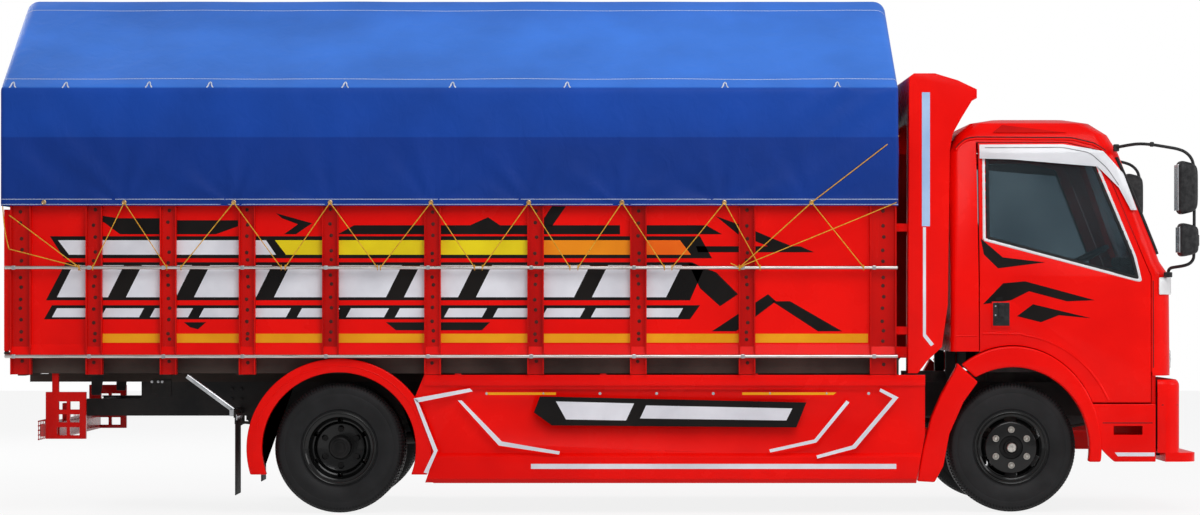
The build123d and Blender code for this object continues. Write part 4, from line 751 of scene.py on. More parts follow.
crumple = wired(tree, "TexNoise", {"Vector": pulled, "Scale": 9, "Detail": 7, "Distortion": 0.9}).outputs["Fac"]
creased = wired(tree, "Bump", {"Height": crumple, "Strength": 0.22, "Distance": 0.02, "Normal": woven})
fed(tree, cloth, {
    "Base Color": tinted.outputs[0], "Roughness": 0.52, "Specular IOR Level": 0.14, "Sheen Weight": 0.03,
    "Normal": creased.outputs[0],
})
cover.data.materials.append(cover_look)
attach(cover, "chassis")
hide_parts("tarpaulin")

# Lockstitched seams: two rows by the hem, one above the eave and one below the ridge on each side
seam_thread, tree, surface = bare_look("seam_thread")
where = wired(tree, "TexCoord").outputs["Object"]
stitches = wired(tree, "TexWave", {"Vector": where, "Scale": 34}, bands_direction="X").outputs["Fac"]
threads = toned(tree, stitches, (0.12, (0.10, 0.20, 0.50)), (0.24, (0.62, 0.68, 0.80)))
fed(tree, surface, {"Base Color": threads, "Roughness": 0.8})
SEAMS = (HEM_S - 0.008, HEM_S - 0.040, EAVE_S - 0.118, RIDGE_Y + 0.135)
points, faces = [], []
for side in (-1, 1):
    for seam in SEAMS:
        half = 0.0019 if seam > EAVE_S else 0.0028
        start = len(points)
        for x in columns:
            for offset, lift in ((-half, 0.0), (-half * 0.6, 0.0012), (half * 0.6, 0.0012), (half, 0.0)):
                points.append(cloth_point(x, side * (seam + offset), lift))
        for i in range(len(columns) - 1):
            for j in range(3):
                a = start + i * 4 + j
                faces.append((a, a + 1, a + 5, a + 4))
            a = start + i * 4
            faces.append((a + 3, a, a + 4, a + 7))
        faces.append((start, start + 1, start + 2, start + 3))
        a = start + (len(columns) - 1) * 4
        faces.append((a + 3, a + 2, a + 1, a))
seams = laid_out("cover_seams", points, faces)
faced_out()
seams.data.materials.append(seam_thread)
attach(seams, "chassis")

# Brass eyelets pressed into the hem, and webbing loops sewn just above the eave
brass = finish("eyelet_brass", (0.36, 0.22, 0.10), (0.62, 0.44, 0.24), 60.0, 0.3, metal=1.0, bump=0.1)
webbing = finish("loop_webbing", (0.50, 0.56, 0.66), (0.72, 0.76, 0.84), 60.0, 0.7, bump=0.4, fine=400)
LOOPS = (13.8, 66.6, 149.6, 210.6, 345.5, 452.6, 567.0, 724.5, 836.6)
LOOP_LINE = (
    # steps of the webbing along the cover, down it and out of it
    (-0.020, -0.006, 0.004), (-0.010, 0.002, 0.007), (-0.006, 0.030, 0.012), (0.004, 0.044, 0.012),
    (0.009, 0.030, 0.012), (0.012, 0.002, 0.007), (0.022, -0.006, 0.004),
)


def ring(large, small, around, section, place, turn):
    """A closed ring of round section."""
    bpy.ops.mesh.primitive_torus_add(
        major_radius=large, minor_radius=small, major_segments=around, minor_segments=section,
        location=place, rotation=turn,
    )
    return bpy.context.object


FACING_OUT, FACING_FORWARD = (math.pi / 2, 0, 0), (0, math.pi / 2, 0)
rings, loops = [], []
for side in (-1, 1):
    for x in eyelet_x:
        place = cloth_point(x, side * (HEM_S - 0.020), 0.0015)
        rings.append(ring(0.0115, 0.0038, 20, 8, place, FACING_OUT))
        rings.append(rod(16, 0.0086, 0.002, place, FACING_OUT))
    for px in LOOPS:
        x = on_side(px, 88)[0]
        foot = EAVE_S - 0.008
        run = [cloth_point(x + along, side * (foot - down), lift) for along, down, lift in LOOP_LINE]
        loops.append(bent_tube(run, 0.0042, "loop", 8))
fitted(rings, "cover_eyelets", "chassis", brass)
fitted(loops, "cover_loops", "chassis", webbing)

# ---- Lashing ropes ------------------------------------------------------------------------
# Thin yellow laid rope, drawn tight from each eyelet to the upper rub rail in a zigzag.
# Each run takes a turn round the rail; the end runs go to the corners and round the rear post.
rope_yellow = finish("lashing_rope", (0.56, 0.26, 0.020), (0.80, 0.44, 0.045), 90.0, 0.7, bump=0.8, fine=420)
RAIL_Y, RAIL_Z = 1.111, 1.520
RUNS = (
    (1, 94), (1, 168), (2, 182), (2, 282), (3, 286), (3, 378), (4, 381), (4, 475), (5, 482.5), (5, 570),
    (6, 578), (6, 664.4), (7, 671.7), (7, 759.7), (8, 739), (8, 863),
)


def beside(spot, side, along, out, up):
    """A place a little along, out from and above a spot on one side of the truck."""
    return Vector(spot) + Vector((along, side * out, up))


for side, word in SIDES:
    ropes = []
    for number, px in RUNS:
        top = cloth_point(eyelet_x[number], side * (HEM_S - 0.020), 0.003)
        foot_x = on_side(px, 267)[0]
        foot = Vector((foot_x, side * (RAIL_Y + 0.014), RAIL_Z))
        lean = (foot - top).normalized()
        run = [
            beside(top - lean * 0.002, side, 0, -0.012, 0), beside(top, side, 0, 0.003, 0),
            top + lean * 0.03, foot - lean * 0.02, foot,
        ]
        ropes.append(bent_tube(run, 0.0032, "rope", 8))
        ropes.append(ring(0.0146, 0.0034, 18, 6, (foot_x, side * RAIL_Y, RAIL_Z), FACING_FORWARD))
    tie, rear_tie = (Vector((on_side(px, 267)[0], side * (RAIL_Y + 0.015), RAIL_Z + 0.004)) for px in (739, 80))
    corner = cloth_point(COVER_FRONT - 0.012, side * (EAVE_S + 0.306), 0.004)
    hem_corner = cloth_point(COVER_FRONT - 0.012, side * (HEM_S - 0.02), 0.004)
    last = cloth_point(eyelet_x[8], side * (HEM_S - 0.020), 0.005)
    post = (-3.650, side * 1.104, 0)
    runs = [
        [last, beside(last.lerp(corner, 0.5), side, 0, 0.012, 0), corner,
         Vector((COVER_FRONT + 0.006, corner.y - side * 0.05, corner.z + 0.01))],
        [hem_corner, beside(hem_corner.lerp(tie, 0.5), side, 0, 0.006, -0.004), tie],
    ]
    for back, turn, front in ((1.845, 1.842, 1.836), (1.632, 1.634, 1.632)):
        runs.append([
            beside(post, side, 0, -0.03, back), beside(post, side, -0.002, 0, turn),
            beside(post, side, 0.014, 0.004, front), rear_tie,
        ])
    runs.append([
        Vector((x, side * y, z))
        for x, y, z in (
            (-3.690, 1.112, 1.925), (-3.682, 1.114, 1.80), (-3.668, 1.108, 1.70), (-3.650, 1.106, 1.634),
        )
    ])
    for knot, steps in (
        (tie, ((-0.055, 0, 0.022), (-0.02, 0.006, 0.008), (0.006, 0.008, -0.012), (0.03, 0.002, 0.010))),
        (rear_tie, ((-0.012, 0.004, 0.014), (0.004, 0.008, -0.006), (0.012, 0.002, -0.022))),
    ):
        runs.append([beside(knot, side, *step) for step in steps])
    ropes += [bent_tube(run, 0.0033, "rope", 8) for run in runs]
    for knot in (tie, rear_tie):
        place = (knot.x, side * RAIL_Y, RAIL_Z)
        ropes.append(ring(0.0150, 0.0042, 18, 6, place, (0, math.pi / 2, 0.25)))
    fitted(ropes, "lashing_" + word, "chassis", rope_yellow)

# ---- Rear fairing, skirts and fenders -----------------------------------------------------
# Folded and pressed sheet steel in the body's gloss red, hung on brackets from the deck and the rails.
# Their edges are rolled over, so each keeps a bright line of light along its rim.


def rolled_edges(node, name, body, look, width, segments=3, angle=35):
    """A copy of a CAD piece with its flats cleaned and its edges rolled over, standing for that piece."""
    copy = copied(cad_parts[node], Matrix.Identity(4))
    picked(copy)
    bpy.ops.object.mode_set(mode="EDIT")
    bpy.ops.mesh.select_all(action="SELECT")
    bpy.ops.mesh.remove_doubles(threshold=0.00005)
    bpy.ops.mesh.dissolve_limited(angle_limit=math.radians(0.6))
    bpy.ops.object.mode_set(mode="OBJECT")
    bevelled(copy, width, segments, angle)
    bpy.ops.object.shade_smooth_by_angle(angle=math.radians(32))
    at_rest(name, body, look)
    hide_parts(node)
    return copy


rolled_edges("cab_rear_fairing", "fairing", "chassis", body_red, 0.008)
rolled_edges("side_skirts", "skirts", "chassis", body_red, 0.004, 2)
rolled_edges("rear_fenders", "fenders", "chassis", body_red, 0.018, 4)
rolled_edges("front_flare_rears", "flare_rears", "chassis", body_red, 0.012, 4)

stripe_sky = livery_paint("stripe_sky", (0.30, 0.46, 0.72), (0.42, 0.58, 0.82))
SKIRT_FACE = 1.096
SILL_FACE = 1.078
GUARD_FACE = 1.050
SKIRT_LINES = (
    # paint, face it lies on, outline in picture places
    (stripe_white, SKIRT_FACE, ((414, 398), (470, 388), (473, 391), (418, 402))),
    (stripe_white, SKIRT_FACE, ((414, 398), (418, 400), (438, 450), (428, 473), (424, 472), (434, 451))),
    (stripe_white, SKIRT_FACE, ((458, 400), (462, 400), (502, 441), (560, 451), (559, 454), (499, 445))),
    (
        stripe_white, SKIRT_FACE,
        ((880, 388), (898, 397), (855, 448), (817, 458), (816, 455), (852, 445), (892, 398), (879, 391)),
    ),
    (stripe_white, SKIRT_FACE, ((846, 400), (849, 402), (816, 442), (770, 452), (769, 449), (814, 439))),
    (stripe_amber, SKIRT_FACE, ((486, 392), (556, 392), (556, 394.5), (489, 394.5))),
    (stripe_amber, SKIRT_FACE, ((742, 392), (836, 392), (833, 394.5), (742, 394.5))),
    (flash_black, SKIRT_FACE, ((540, 396), (806, 402), (796, 427), (552, 425), (534, 412))),
    (stripe_white, SKIRT_FACE + 0.0016, ((556, 401), (634, 403), (626, 420), (566, 419))),
    (stripe_white, SKIRT_FACE + 0.0016, ((646, 405), (792, 408), (786, 420), (640, 418))),
)
GUARD_LINES = (
    (stripe_sky, ((922, 92), (930, 92), (930, 226), (922, 226))),
    (stripe_white, ((923, 227), (926, 227), (926, 334), (934, 344), (931, 346), (923, 336))),
)
for side, word in SIDES:
    coats = [
        (paint, sprayed(outline, side, face_y, 0.0010 if paint == flash_black else 0.0018))
        for paint, face_y, outline in SKIRT_LINES
    ]
    coats += [(paint, sprayed(outline, side, GUARD_FACE, 0.0016)) for paint, outline in GUARD_LINES]
    hung_coats(coats, "skirt_", word)

# The sill's white stripe and its row of screws
screw = bolt(0.006, 0.004)
for side, word in SIDES:
    sprayed(((531, 463.5), (896, 463.5), (896, 468.5), (531, 468.5)), side, SILL_FACE, 0.0016)
    at_rest("sill_stripe_" + word, "chassis", stripe_white)
    set_round(
        screw,
        [(x, side * (SKIRT_FACE + 0.0002), 0.742) for x in (-0.70, -0.35, 0.0, 0.35, 0.70, 1.05, 1.40, 1.66)],
        "skirt_screws_" + word, (0, side, 0), last=side > 0,
    )
    at_rest("skirt_screws_" + word, "chassis", bright_strap)

# Rolled bead that stiffens the outer rim of each fender
FENDER_AXLE = -1.615
for side, word in SIDES:
    bead = []
    for turn in range(41):
        angle = math.radians(14 + turn * 152 / 40)
        bead.append((FENDER_AXLE + 0.527 * math.cos(angle), side * 1.0835, 0.402 + 0.512 * math.sin(angle)))
    bent_tube(bead, 0.0045, "fender_bead_" + word, 12)
    at_rest("fender_bead_" + word, "chassis", body_red)

# ---- Mud flaps and rear guard -------------------------------------------------------------
# Black rubber flaps hang behind the rear wheels from bright stays.
# A red guard of flat bars with a welded lattice covers the tail lamps below the deck.
rubber_sheet = finish(
    "rubber_sheet", (0.012, 0.012, 0.012), (0.030, 0.029, 0.028), 6.0, 0.68, bump=0.4, fine=110,
)
rolled_edges("mud_flaps", "flaps", "chassis", rubber_sheet, 0.002, 2)
flap_pin = bolt(0.008, 0.006)
for side, word in SIDES:
    bars = [
        box_at(
            (-2.2550, side * 0.72 if side > 0 else -1.04, 0.575),
            (-2.2490, 1.04 if side > 0 else -0.72, 0.610), 0.001,
        )
    ]
    bars.append(
        set_round(
            flap_pin, [(-2.2490, side * y, 0.592) for y in (0.76, 0.88, 1.00)], "flap_pins", (1, 0, 0),
            last=side > 0,
        )
    )
    fitted(bars, "flap_bar_" + word, "chassis", bright_strap)
# The guard and its lattice take the darker copy of the body red, painted shade under the deck.
rolled_edges("rear_bumper", "guard_bar", "chassis", shade_darkened_red, 0.005, 3)
lamp_red = finish(
    "lamp_red", (0.46, 0.006, 0.006), (0.62, 0.012, 0.010), 30.0, 0.16, bump=0.3, fine=320, coat=0.8,
)
coat_node(lamp_red, "tail_lamps")
for side, word in SIDES:
    low_y, high_y = sorted((side * 0.60, side * 0.96))
    lattice = []
    for z in (0.452, 0.480, 0.509, 0.537, 0.566):
        lattice.append(box_at((-3.4945, low_y, z - 0.004), (-3.4865, high_y, z + 0.004), 0.001))
    for step in range(6):
        y = low_y + 0.004 + (high_y - low_y - 0.008) * step / 5
        lattice.append(box_at((-3.4925, y - 0.004, 0.448), (-3.4885, y + 0.004, 0.570), 0.001))
        lattice.append(box_at((-3.4925, y - 0.004, 0.566), (-3.44, y + 0.004, 0.570), 0.001))
    fitted(lattice, "lamp_lattice_" + word, "chassis", shade_darkened_red)

# ---- Cab body -----------------------------------------------------------------------------
# Steel panels spot-welded to a lofted shell and sprayed gloss red, with a raised cap on the roof.
# A drip rail runs over the door. Black lines of painted shade lie in its gutter and in the seams that part the door,
# the pillar and the front corner.
rolled_edges("cab_shell", "cab_panels", "cab", body_red, 0.006, 3)
rolled_edges("cab_wheel_flares", "arch_flares", "cab", body_red, 0.012, 4)
rolled_edges("entry_steps", "entry_panels", "cab", body_red, 0.005, 3)
rolled_edges("front_bumper", "bumper", "chassis", body_red, 0.008, 3)
for word in ("right", "left"):
    rolled_edges("door_" + word, "door_leaf_" + word, "door_" + word, body_red, 0.0025, 2)


def laid_on(outline, target, side, lift, thick, name, cuts):
    """A thin coat or moulding cut to an outline, pressed sideways on to the panel beneath."""
    coat = flat_cut(outline, side * 1.30)
    coat.name = name
    bpy.ops.object.mode_set(mode="EDIT")
    bpy.ops.mesh.select_all(action="SELECT")
    bpy.ops.mesh.quads_convert_to_tris(ngon_method="BEAUTY")
    bpy.ops.mesh.subdivide(number_cuts=cuts)
    faced_out()
    press = coat.modifiers.new("press", "SHRINKWRAP")
    press.target = target
    press.wrap_method = "PROJECT"
    press.use_project_y = True
    press.use_negative_direction = True
    press.use_positive_direction = True
    bpy.ops.object.modifier_apply(modifier=press.name)
    for vertex in coat.data.vertices:
        vertex.co.y += side * lift
    thickened(side * thick)
    return coat


def panel_y(target, x, z, side):
    """How far out a panel's skin lies at one place."""
    hit, place = target.ray_cast(Vector((x, side * 1.5, z)), Vector((0, -side, 0)))[:2]
    return place.y if hit else None


def run_on(points, target, side, stand):
    """Places along a line of the picture, carried on to the panel's skin."""
    line = []
    for first, second in zip(points, points[1:]):
        steps = max(1, int(math.dist(first, second) / 0.05))
        for step in range(steps):
            x = first[0] + (second[0] - first[0]) * step / steps
            z = first[1] + (second[1] - first[1]) * step / steps
            y = panel_y(target, x, z, side)
            if y is not None:
                line.append((x, y + side * stand, z))
    y = panel_y(target, *points[-1], side)
    if y is not None:
        line.append((points[-1][0], y + side * stand, points[-1][1]))
    return line


panels = bpy.data.objects["cab_panels"]
# Near-black lines of painted shade, for the gutter, the seams and the creases of the cab and the bumper.
seam_shade = finish("seam_shade", (0.006, 0.006, 0.006), (0.018, 0.016, 0.015), 20.0, 0.6, bump=0.2)
for side, word in SIDES:
    drip = run_on(
        [(2.215, 2.255), (2.262, 2.312), (2.330, 2.326), (2.940, 2.322), (3.090, 2.285), (3.150, 2.240)],
        panels, side, 0.004,
    )
    bent_tube(drip, 0.0075, "drip_rail_" + word, 12)
    at_rest("drip_rail_" + word, "cab", body_red)
    # A black line in the gutter above the drip rail: painted shade.
    gutter = [(x, y - side * 0.001, z + 0.010) for x, y, z in drip]
    bent_tube(gutter, 0.0042, "drip_seam_" + word, 8)
    at_rest("drip_seam_" + word, "cab", seam_shade)
    # The roof cap's relief is cut in the darker copy of the body red, painted shade.
    laid_on(
        [on_side(996, 131), on_side(1006, 123), on_side(1070, 131)], panels, side, 0.0002, 0.010,
        "roof_relief_" + word, 4,
    )
    at_rest("roof_relief_" + word, "cab", shade_darkened_red)
    belt = run_on([(2.205, 1.096), (2.340, 1.100)], panels, side, 0.0015)
    bent_tube(belt, 0.0055, "belt_crease_" + word, 12)
    at_rest("belt_crease_" + word, "cab", body_red)
    # A black line in the gap at the front corner: painted shade.
    corner_gap_shade = run_on([(3.432, 1.44), (3.434, 1.20), (3.434, 0.90)], panels, side, -0.0010)
    if len(corner_gap_shade) > 1:
        bent_tube(corner_gap_shade, 0.0030, "corner_seam_" + word, 8)
        at_rest("corner_seam_" + word, "cab", seam_shade)

# ---- Doors --------------------------------------------------------------------------------
# Each door is a pressed red leaf with a fixed tinted pane in a black rubber seal, trimmed with a white line.
# A black pull handle sits in its pocket; generic black flashes cross the leaf and the pillar behind it.
pane_tint, tree, surface = bare_look("pane_tint")
place = wired(tree, "TexCoord").outputs["Object"]
haze = wired(tree, "TexNoise", {"Vector": place, "Scale": 2.4, "Detail": 2}).outputs["Fac"]
fed(tree, surface, {
    "Base Color": toned(tree, haze, (0.35, (0.16, 0.21, 0.24)), (0.65, (0.24, 0.30, 0.33))),
    "Transmission Weight": 0.93, "Roughness": 0.02, "IOR": 1.12,
})
coat_node(pane_tint, "door_glass_right", "door_glass_left", "cab_glass")
seal_rubber = finish("seal_rubber", (0.008, 0.008, 0.009), (0.020, 0.020, 0.021), 24.0, 0.55, bump=0.15)
trim_white = finish("trim_white", (0.70, 0.70, 0.72), (0.80, 0.80, 0.82), 5.0, 0.35, bump=0.04, coat=0.3)
visor_white = finish("visor_white", (0.62, 0.63, 0.66), (0.76, 0.77, 0.80), 3.0, 0.22, bump=0.04, coat=0.6)
handle_black = finish(
    "handle_black", (0.010, 0.010, 0.011), (0.024, 0.024, 0.025), 30.0, 0.35, bump=0.3, fine=300, coat=0.1,
)
WINDOW = ((2.410, 1.705), (2.408, 2.235), (2.885, 2.235), (3.060, 2.190), (3.300, 1.600), (3.335, 1.455))
DOOR_FLASHES = (
    # a fin under the window's corner, a long barb along the band and a short one beneath it
    ((982, 238), (985, 254), (999, 268), (1046, 262), (1004, 257)),
    ((984, 304), (1004, 283), (1026, 281), (1096, 300), (1068, 301), (1030, 291), (1012, 300)),
    ((1018, 316), (1034, 304), (1092, 318), (1060, 315), (1042, 322)),
)
for side, word in SIDES:
    leaf = bpy.data.objects["door_leaf_" + word]
    rim = list(WINDOW) + [WINDOW[0]]
    centre = Vector((2.86, 1.88))
    for name, grow, radius, look, slot in (
        ("seal_", 0.000, 0.0110, seal_rubber, "black_rubber"),
        ("white_line_", 0.020, 0.0098, trim_white, "white_plastic"),
    ):
        wide = []
        for x, z in rim:
            out = (Vector((x, z)) - centre).normalized() * grow * 1.25
            wide.append((x + out.x, z + out.y))
        path = []
        for first, second in zip(wide, wide[1:]):
            for step in range(10):
                x, z = first[0] + (second[0] - first[0]) * step / 10, first[1] + (second[1] - first[1]) * step / 10
                away = (Vector((x, z)) - centre).normalized() * 0.020
                y = panel_y(leaf, x + away.x, z + away.y, side)
                if y is None:
                    continue
                path.append((x, y, z))
        path.append(path[0])
        bent_tube(path, radius, "window_" + name + word, 12)
        tube = bpy.context.object
        for vertex in tube.data.vertices:
            near_y = min(path, key=lambda p: (p[0] - vertex.co.x) ** 2 + (p[2] - vertex.co.z) ** 2)[1]
            vertex.co.y = near_y + (vertex.co.y - near_y) * 0.45
        at_rest("window_" + name + word, "door_" + word, look)
    for number, outline in enumerate(DOOR_FLASHES):
        outline = [on_side(*p) for p in outline]
        laid_on(outline, leaf, side, 0.0003, 0.0010, f"door_flash_{number}_{word}", 3)
        at_rest(f"door_flash_{number}_{word}", "door_" + word, flash_black)
    crease = [(2.372, 1.112), (2.62, 1.110)]
    for step in range(12):
        angle = math.radians(84 - step * 7.4)
        crease.append((2.560 + 0.655 * math.cos(angle), 0.402 + 0.705 * math.sin(angle)))
    bent_tube(run_on(crease, leaf, side, -0.0030), 0.0095, "door_crease_" + word, 12)
    at_rest("door_crease_" + word, "door_" + word, body_red)
    grip = [box_at((2.436, side * 1.0205 - 0.004, 1.160), (2.539, side * 1.0205 + 0.004, 1.304), 0.003)]
    grip.append(box_at((2.470, side * 1.0255 - 0.006, 1.215), (2.505, side * 1.0255 + 0.006, 1.298), 0.004))
    grip.append(rod(20, 0.009, 0.006, (2.462, side * 1.0265, 1.182), FACING_OUT))
    fitted(grip, "pull_handle_" + word, "door_" + word, handle_black)
    screw = bolt(0.0035, 0.0025)
    set_round(
        screw, [(2.452, side * 1.0243, 1.282), (2.452, side * 1.0243, 1.226)], "handle_screws_" + word,
        (0, side, 0),
    )
    at_rest("handle_screws_" + word, "door_" + word, bright_strap)
    rolled_edges("door_visor_" + word, "visor_" + word, "door_" + word, visor_white, 0.0022, 2)

# ---- Weather strips and wipers ------------------------------------------------------------
# A dark sealing line along the top of each white weather strip, and rubber-bladed wipers on spring arms.
# The strips are held to the doors; the wipers are parked at the foot of the windscreen.
for side, word in SIDES:
    strip = bpy.data.objects["visor_" + word]
    groove = run_on(
        [(2.395, 2.268), (2.88, 2.270), (3.050, 2.236), (3.155, 2.140), (3.225, 2.035)], strip, side, 0.0004,
    )
    if len(groove) > 1:
        bent_tube(groove, 0.0030, "strip_seal_" + word, 8)
        at_rest("strip_seal_" + word, "door_" + word, bow_grey)
wiper_black = finish(
    "wiper_black", (0.010, 0.010, 0.011), (0.026, 0.026, 0.027), 30.0, 0.45, bump=0.3, fine=300,
)


def front_of(target, y, z):
    """How far forward a skin lies at one place."""
    hit, place = target.ray_cast(Vector((4.5, y, z)), Vector((-1, 0, 0)))[:2]
    return place.x if hit else 3.50


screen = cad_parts["cab_glass"]
GLASS_LOW, GLASS_HIGH, GLASS_HALF = 1.605, 2.210, 0.868
for side, word in SIDES:
    edge_line = []
    for step in range(15):
        z = GLASS_LOW + (GLASS_HIGH - GLASS_LOW) * step / 14
        edge_line.append(
            (front_of(panels, side * (GLASS_HALF + 0.012), z) + 0.004, side * (GLASS_HALF + 0.012), z)
        )
    bent_tube(edge_line, 0.0125, "screen_seal_" + word, 12)
    at_rest("screen_seal_" + word, "cab", seal_rubber)
    steps = bpy.data.objects["entry_panels"]
    bumper_skin = bpy.data.objects["bumper"]
    laid_on(
        [on_side(1116, 452.6), on_side(1156, 452.6), on_side(1156, 456.4), on_side(1119, 456.4)], steps, side,
        0.0003, 0.0012, "step_white_" + word, 1,
    )
    at_rest("step_white_" + word, "cab", stripe_white)
    # Black lines along the creases of the step and the bumper: painted shade.
    for name, line, target, body in (
        ("step_crease_", [on_side(1104, 423), on_side(1154, 423)], steps, "cab"),
        ("bumper_crease_", [on_side(1163, 405), on_side(1180, 405)], bumper_skin, "chassis"),
    ):
        crease_line = run_on(line, target, side, 0.0002)
        if len(crease_line) > 1:
            bent_tube(crease_line, 0.0026, name + word, 8)
            at_rest(name + word, body, seam_shade)
    # A dark plate behind the gap at each end of the bumper: painted shade standing in that gap.
    box_at((3.405, side * 0.755 - 0.003, 0.345), (3.520, side * 0.755 + 0.003, 0.715), 0.002)
    at_rest("splash_plate_" + word, "chassis", rubber_sheet)
for y, word in ((-0.62, "right"), (0.06, "left")):
    foot = Vector((front_of(panels, y, 1.545) + 0.006, y, 1.545))
    tip = Vector((front_of(screen, y + 0.50, 1.668) + 0.016, y + 0.50, 1.668))
    rise = Vector((front_of(panels, y + 0.05, 1.570) + 0.022, y + 0.05, 1.570))
    low = Vector((front_of(screen, y + 0.22, 1.625) + 0.011, y + 0.22, 1.625))
    high = Vector((front_of(screen, y + 0.70, 1.690) + 0.011, y + 0.70, 1.690))
    bent_tube([foot, rise, tip], 0.0060, "wiper_arm", 8)
    bent_tube([low, tip - Vector((0.004, 0, 0.004)), high], 0.0050, "wiper_blade", 8)
    fitted(
        [bpy.data.objects["wiper_arm"], bpy.data.objects["wiper_blade"]], "wiper_" + word, "cab",
        wiper_black,
    )

# ---- Lamps, grille and blank plate --------------------------------------------------------
# Moulded clear lenses over bright bowls, a black slatted grille, and a bare white plate on the bumper.
# White corner lamps wrap round the cab.
lens_clear = finish(
    "lens_clear", (0.60, 0.61, 0.62), (0.78, 0.79, 0.80), 26.0, 0.12, metal=0.3, bump=0.35, fine=420, coat=0.9,
)
lens_white = finish("lens_white", (0.72, 0.72, 0.73), (0.84, 0.84, 0.85), 8.0, 0.20, bump=0.05, coat=0.6)
bowl_bright = finish("bowl_bright", (0.55, 0.56, 0.58), (0.72, 0.73, 0.75), 14.0, 0.14, metal=1.0, bump=0.05)
moulded_black = finish(
    "moulded_black", (0.012, 0.012, 0.013), (0.030, 0.030, 0.031), 40.0, 0.48, bump=0.35, fine=380,
)
rolled_edges("headlamps", "lamp_lenses", "cab", lens_clear, 0.012, 4)
rolled_edges("corner_lamps", "corner_lenses", "cab", lens_white, 0.006, 4, 50)
rolled_edges("front_grille", "grille", "cab", moulded_black, 0.003, 2)
for side, word in SIDES:
    rings = []
    for y in (0.628, 0.767):
        rings.append(ring(0.046, 0.004, 36, 8, (3.5675, side * y, 0.95), FACING_FORWARD))
    rings.append(box_at((3.5660, side * 0.6975 - 0.003, 0.905), (3.5710, side * 0.6975 + 0.003, 0.995), 0.001))
    joined(rings, "lamp_rings_" + word)
    bpy.ops.object.shade_smooth_by_angle(angle=math.radians(40))
    at_rest("lamp_rings_" + word, "cab", bowl_bright)
plate_x = front_of(bumper_skin, 0, 0.66)
box_at((plate_x - 0.001, -0.26, 0.600), (plate_x + 0.003, 0.26, 0.720), 0.0015)
at_rest("blank_plate", "chassis", trim_white)
set_round(
    bolt(0.006, 0.003), [(plate_x + 0.003, -0.21, 0.66), (plate_x + 0.003, 0.21, 0.66)], "plate_pins",
    (1, 0, 0),
)
at_rest("plate_pins", "chassis", bright_strap)

# ---- Mirrors ------------------------------------------------------------------------------
# Two mirrors on each bent black tube: a tall one and a wide-angle one, in blow-moulded black backs.
# The tube is clamped to the pillar above and stands in a round socket on the corner lamp below.
MIRROR_Y = 1.150
ARM_LINE = (
    # tube's middle line from the pillar to the socket, for the right side
    (3.205, 0.905, 2.268), (3.262, 0.985, 2.279), (3.330, 1.072, 2.287), (3.400, 1.112, 2.281),
    (3.500, 1.140, 2.263), (3.560, 1.149, 2.252),
    (3.608, 1.150, 2.234), (3.645, 1.150, 2.198), (3.659, 1.150, 2.155), (3.663, 1.150, 2.100), (3.663, 1.150, 1.595),
    (3.656, 1.148, 1.566), (3.636, 1.138, 1.543), (3.606, 1.112, 1.531), (3.558, 1.040, 1.523), (3.540, 1.010, 1.519),
    (3.530, 0.992, 1.508), (3.527, 0.985, 1.488),
)
HEADS = (
    # top, bottom, rear edge, front edge, how far the ends pull in
    (2.181, 1.843, 3.552, 3.680, 0.030), (1.797, 1.584, 3.561, 3.684, 0.026),
)


def mirror_head(side, top, foot, rear, front, pull):
    """A moulded back with well rounded corners, flat towards the driver and narrower at the front."""
    mid = Vector(((rear + front) / 2, side * MIRROR_Y, (top + foot) / 2))
    half = Vector(((front - rear) / 2, 0.094, (top - foot) / 2))
    bpy.ops.mesh.primitive_cube_add(size=2)
    head = bpy.context.object
    bpy.ops.object.mode_set(mode="EDIT")
    bpy.ops.mesh.select_all(action="SELECT")
    bpy.ops.mesh.subdivide(number_cuts=17)
    bpy.ops.object.mode_set(mode="OBJECT")
    for vertex in head.data.vertices:
        u, v, w = vertex.co
        reach = (abs(u) ** 5 + abs(v) ** 5 + abs(w) ** 5) ** 0.2
        u, v, w = u / reach, v / reach, w / reach
        forward = max(0.0, (u + 1) / 2)
        narrow = 1 - 0.22 * forward ** 2
        low = 1 - (pull / half.z) * forward ** 1.5 * (0.35 + 0.65 * w * w)
        vertex.co = mid + Vector((u * half.x, v * half.y * narrow, w * half.z * low))
    bpy.ops.object.shade_smooth()
    return head


for side, word in SIDES:
    bent_tube([(x, side * y, z) for x, y, z in ARM_LINE], 0.0100, "mirror_tube", 16)
    parts = [bpy.data.objects["mirror_tube"]]
    parts += [mirror_head(side, *head) for head in HEADS]
    socket = rod(32, 0.0265, 0.032, (3.527, side * 0.985, 1.4767))
    parts.append(bevelled(socket, 0.005, 3))
    parts.append(
        box_at((3.668, side * MIRROR_Y - 0.020, 1.652), (3.692, side * MIRROR_Y + 0.020, 1.722), 0.005)
    )
    parts.append(box_at((3.198, side * 0.912 - 0.020, 2.245), (3.232, side * 0.912 + 0.020, 2.290), 0.006))
    parts.append(box_at((3.395, side * 1.113 - 0.014, 2.266), (3.420, side * 1.113 + 0.014, 2.296), 0.006))
    backs = fitted(parts, "mirror_backs_" + word, "cab", moulded_black)
    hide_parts("mirrors")
    glasses = []
    for top, foot, rear, front, pull in HEADS:
        glasses.append(
            box_at(
                (rear - 0.002, side * MIRROR_Y - 0.074, foot + 0.028),
                (rear + 0.006, side * MIRROR_Y + 0.074, top - 0.028), 0.002,
            )
        )
    fitted(glasses, "mirror_glasses_" + word, "cab", bowl_bright)

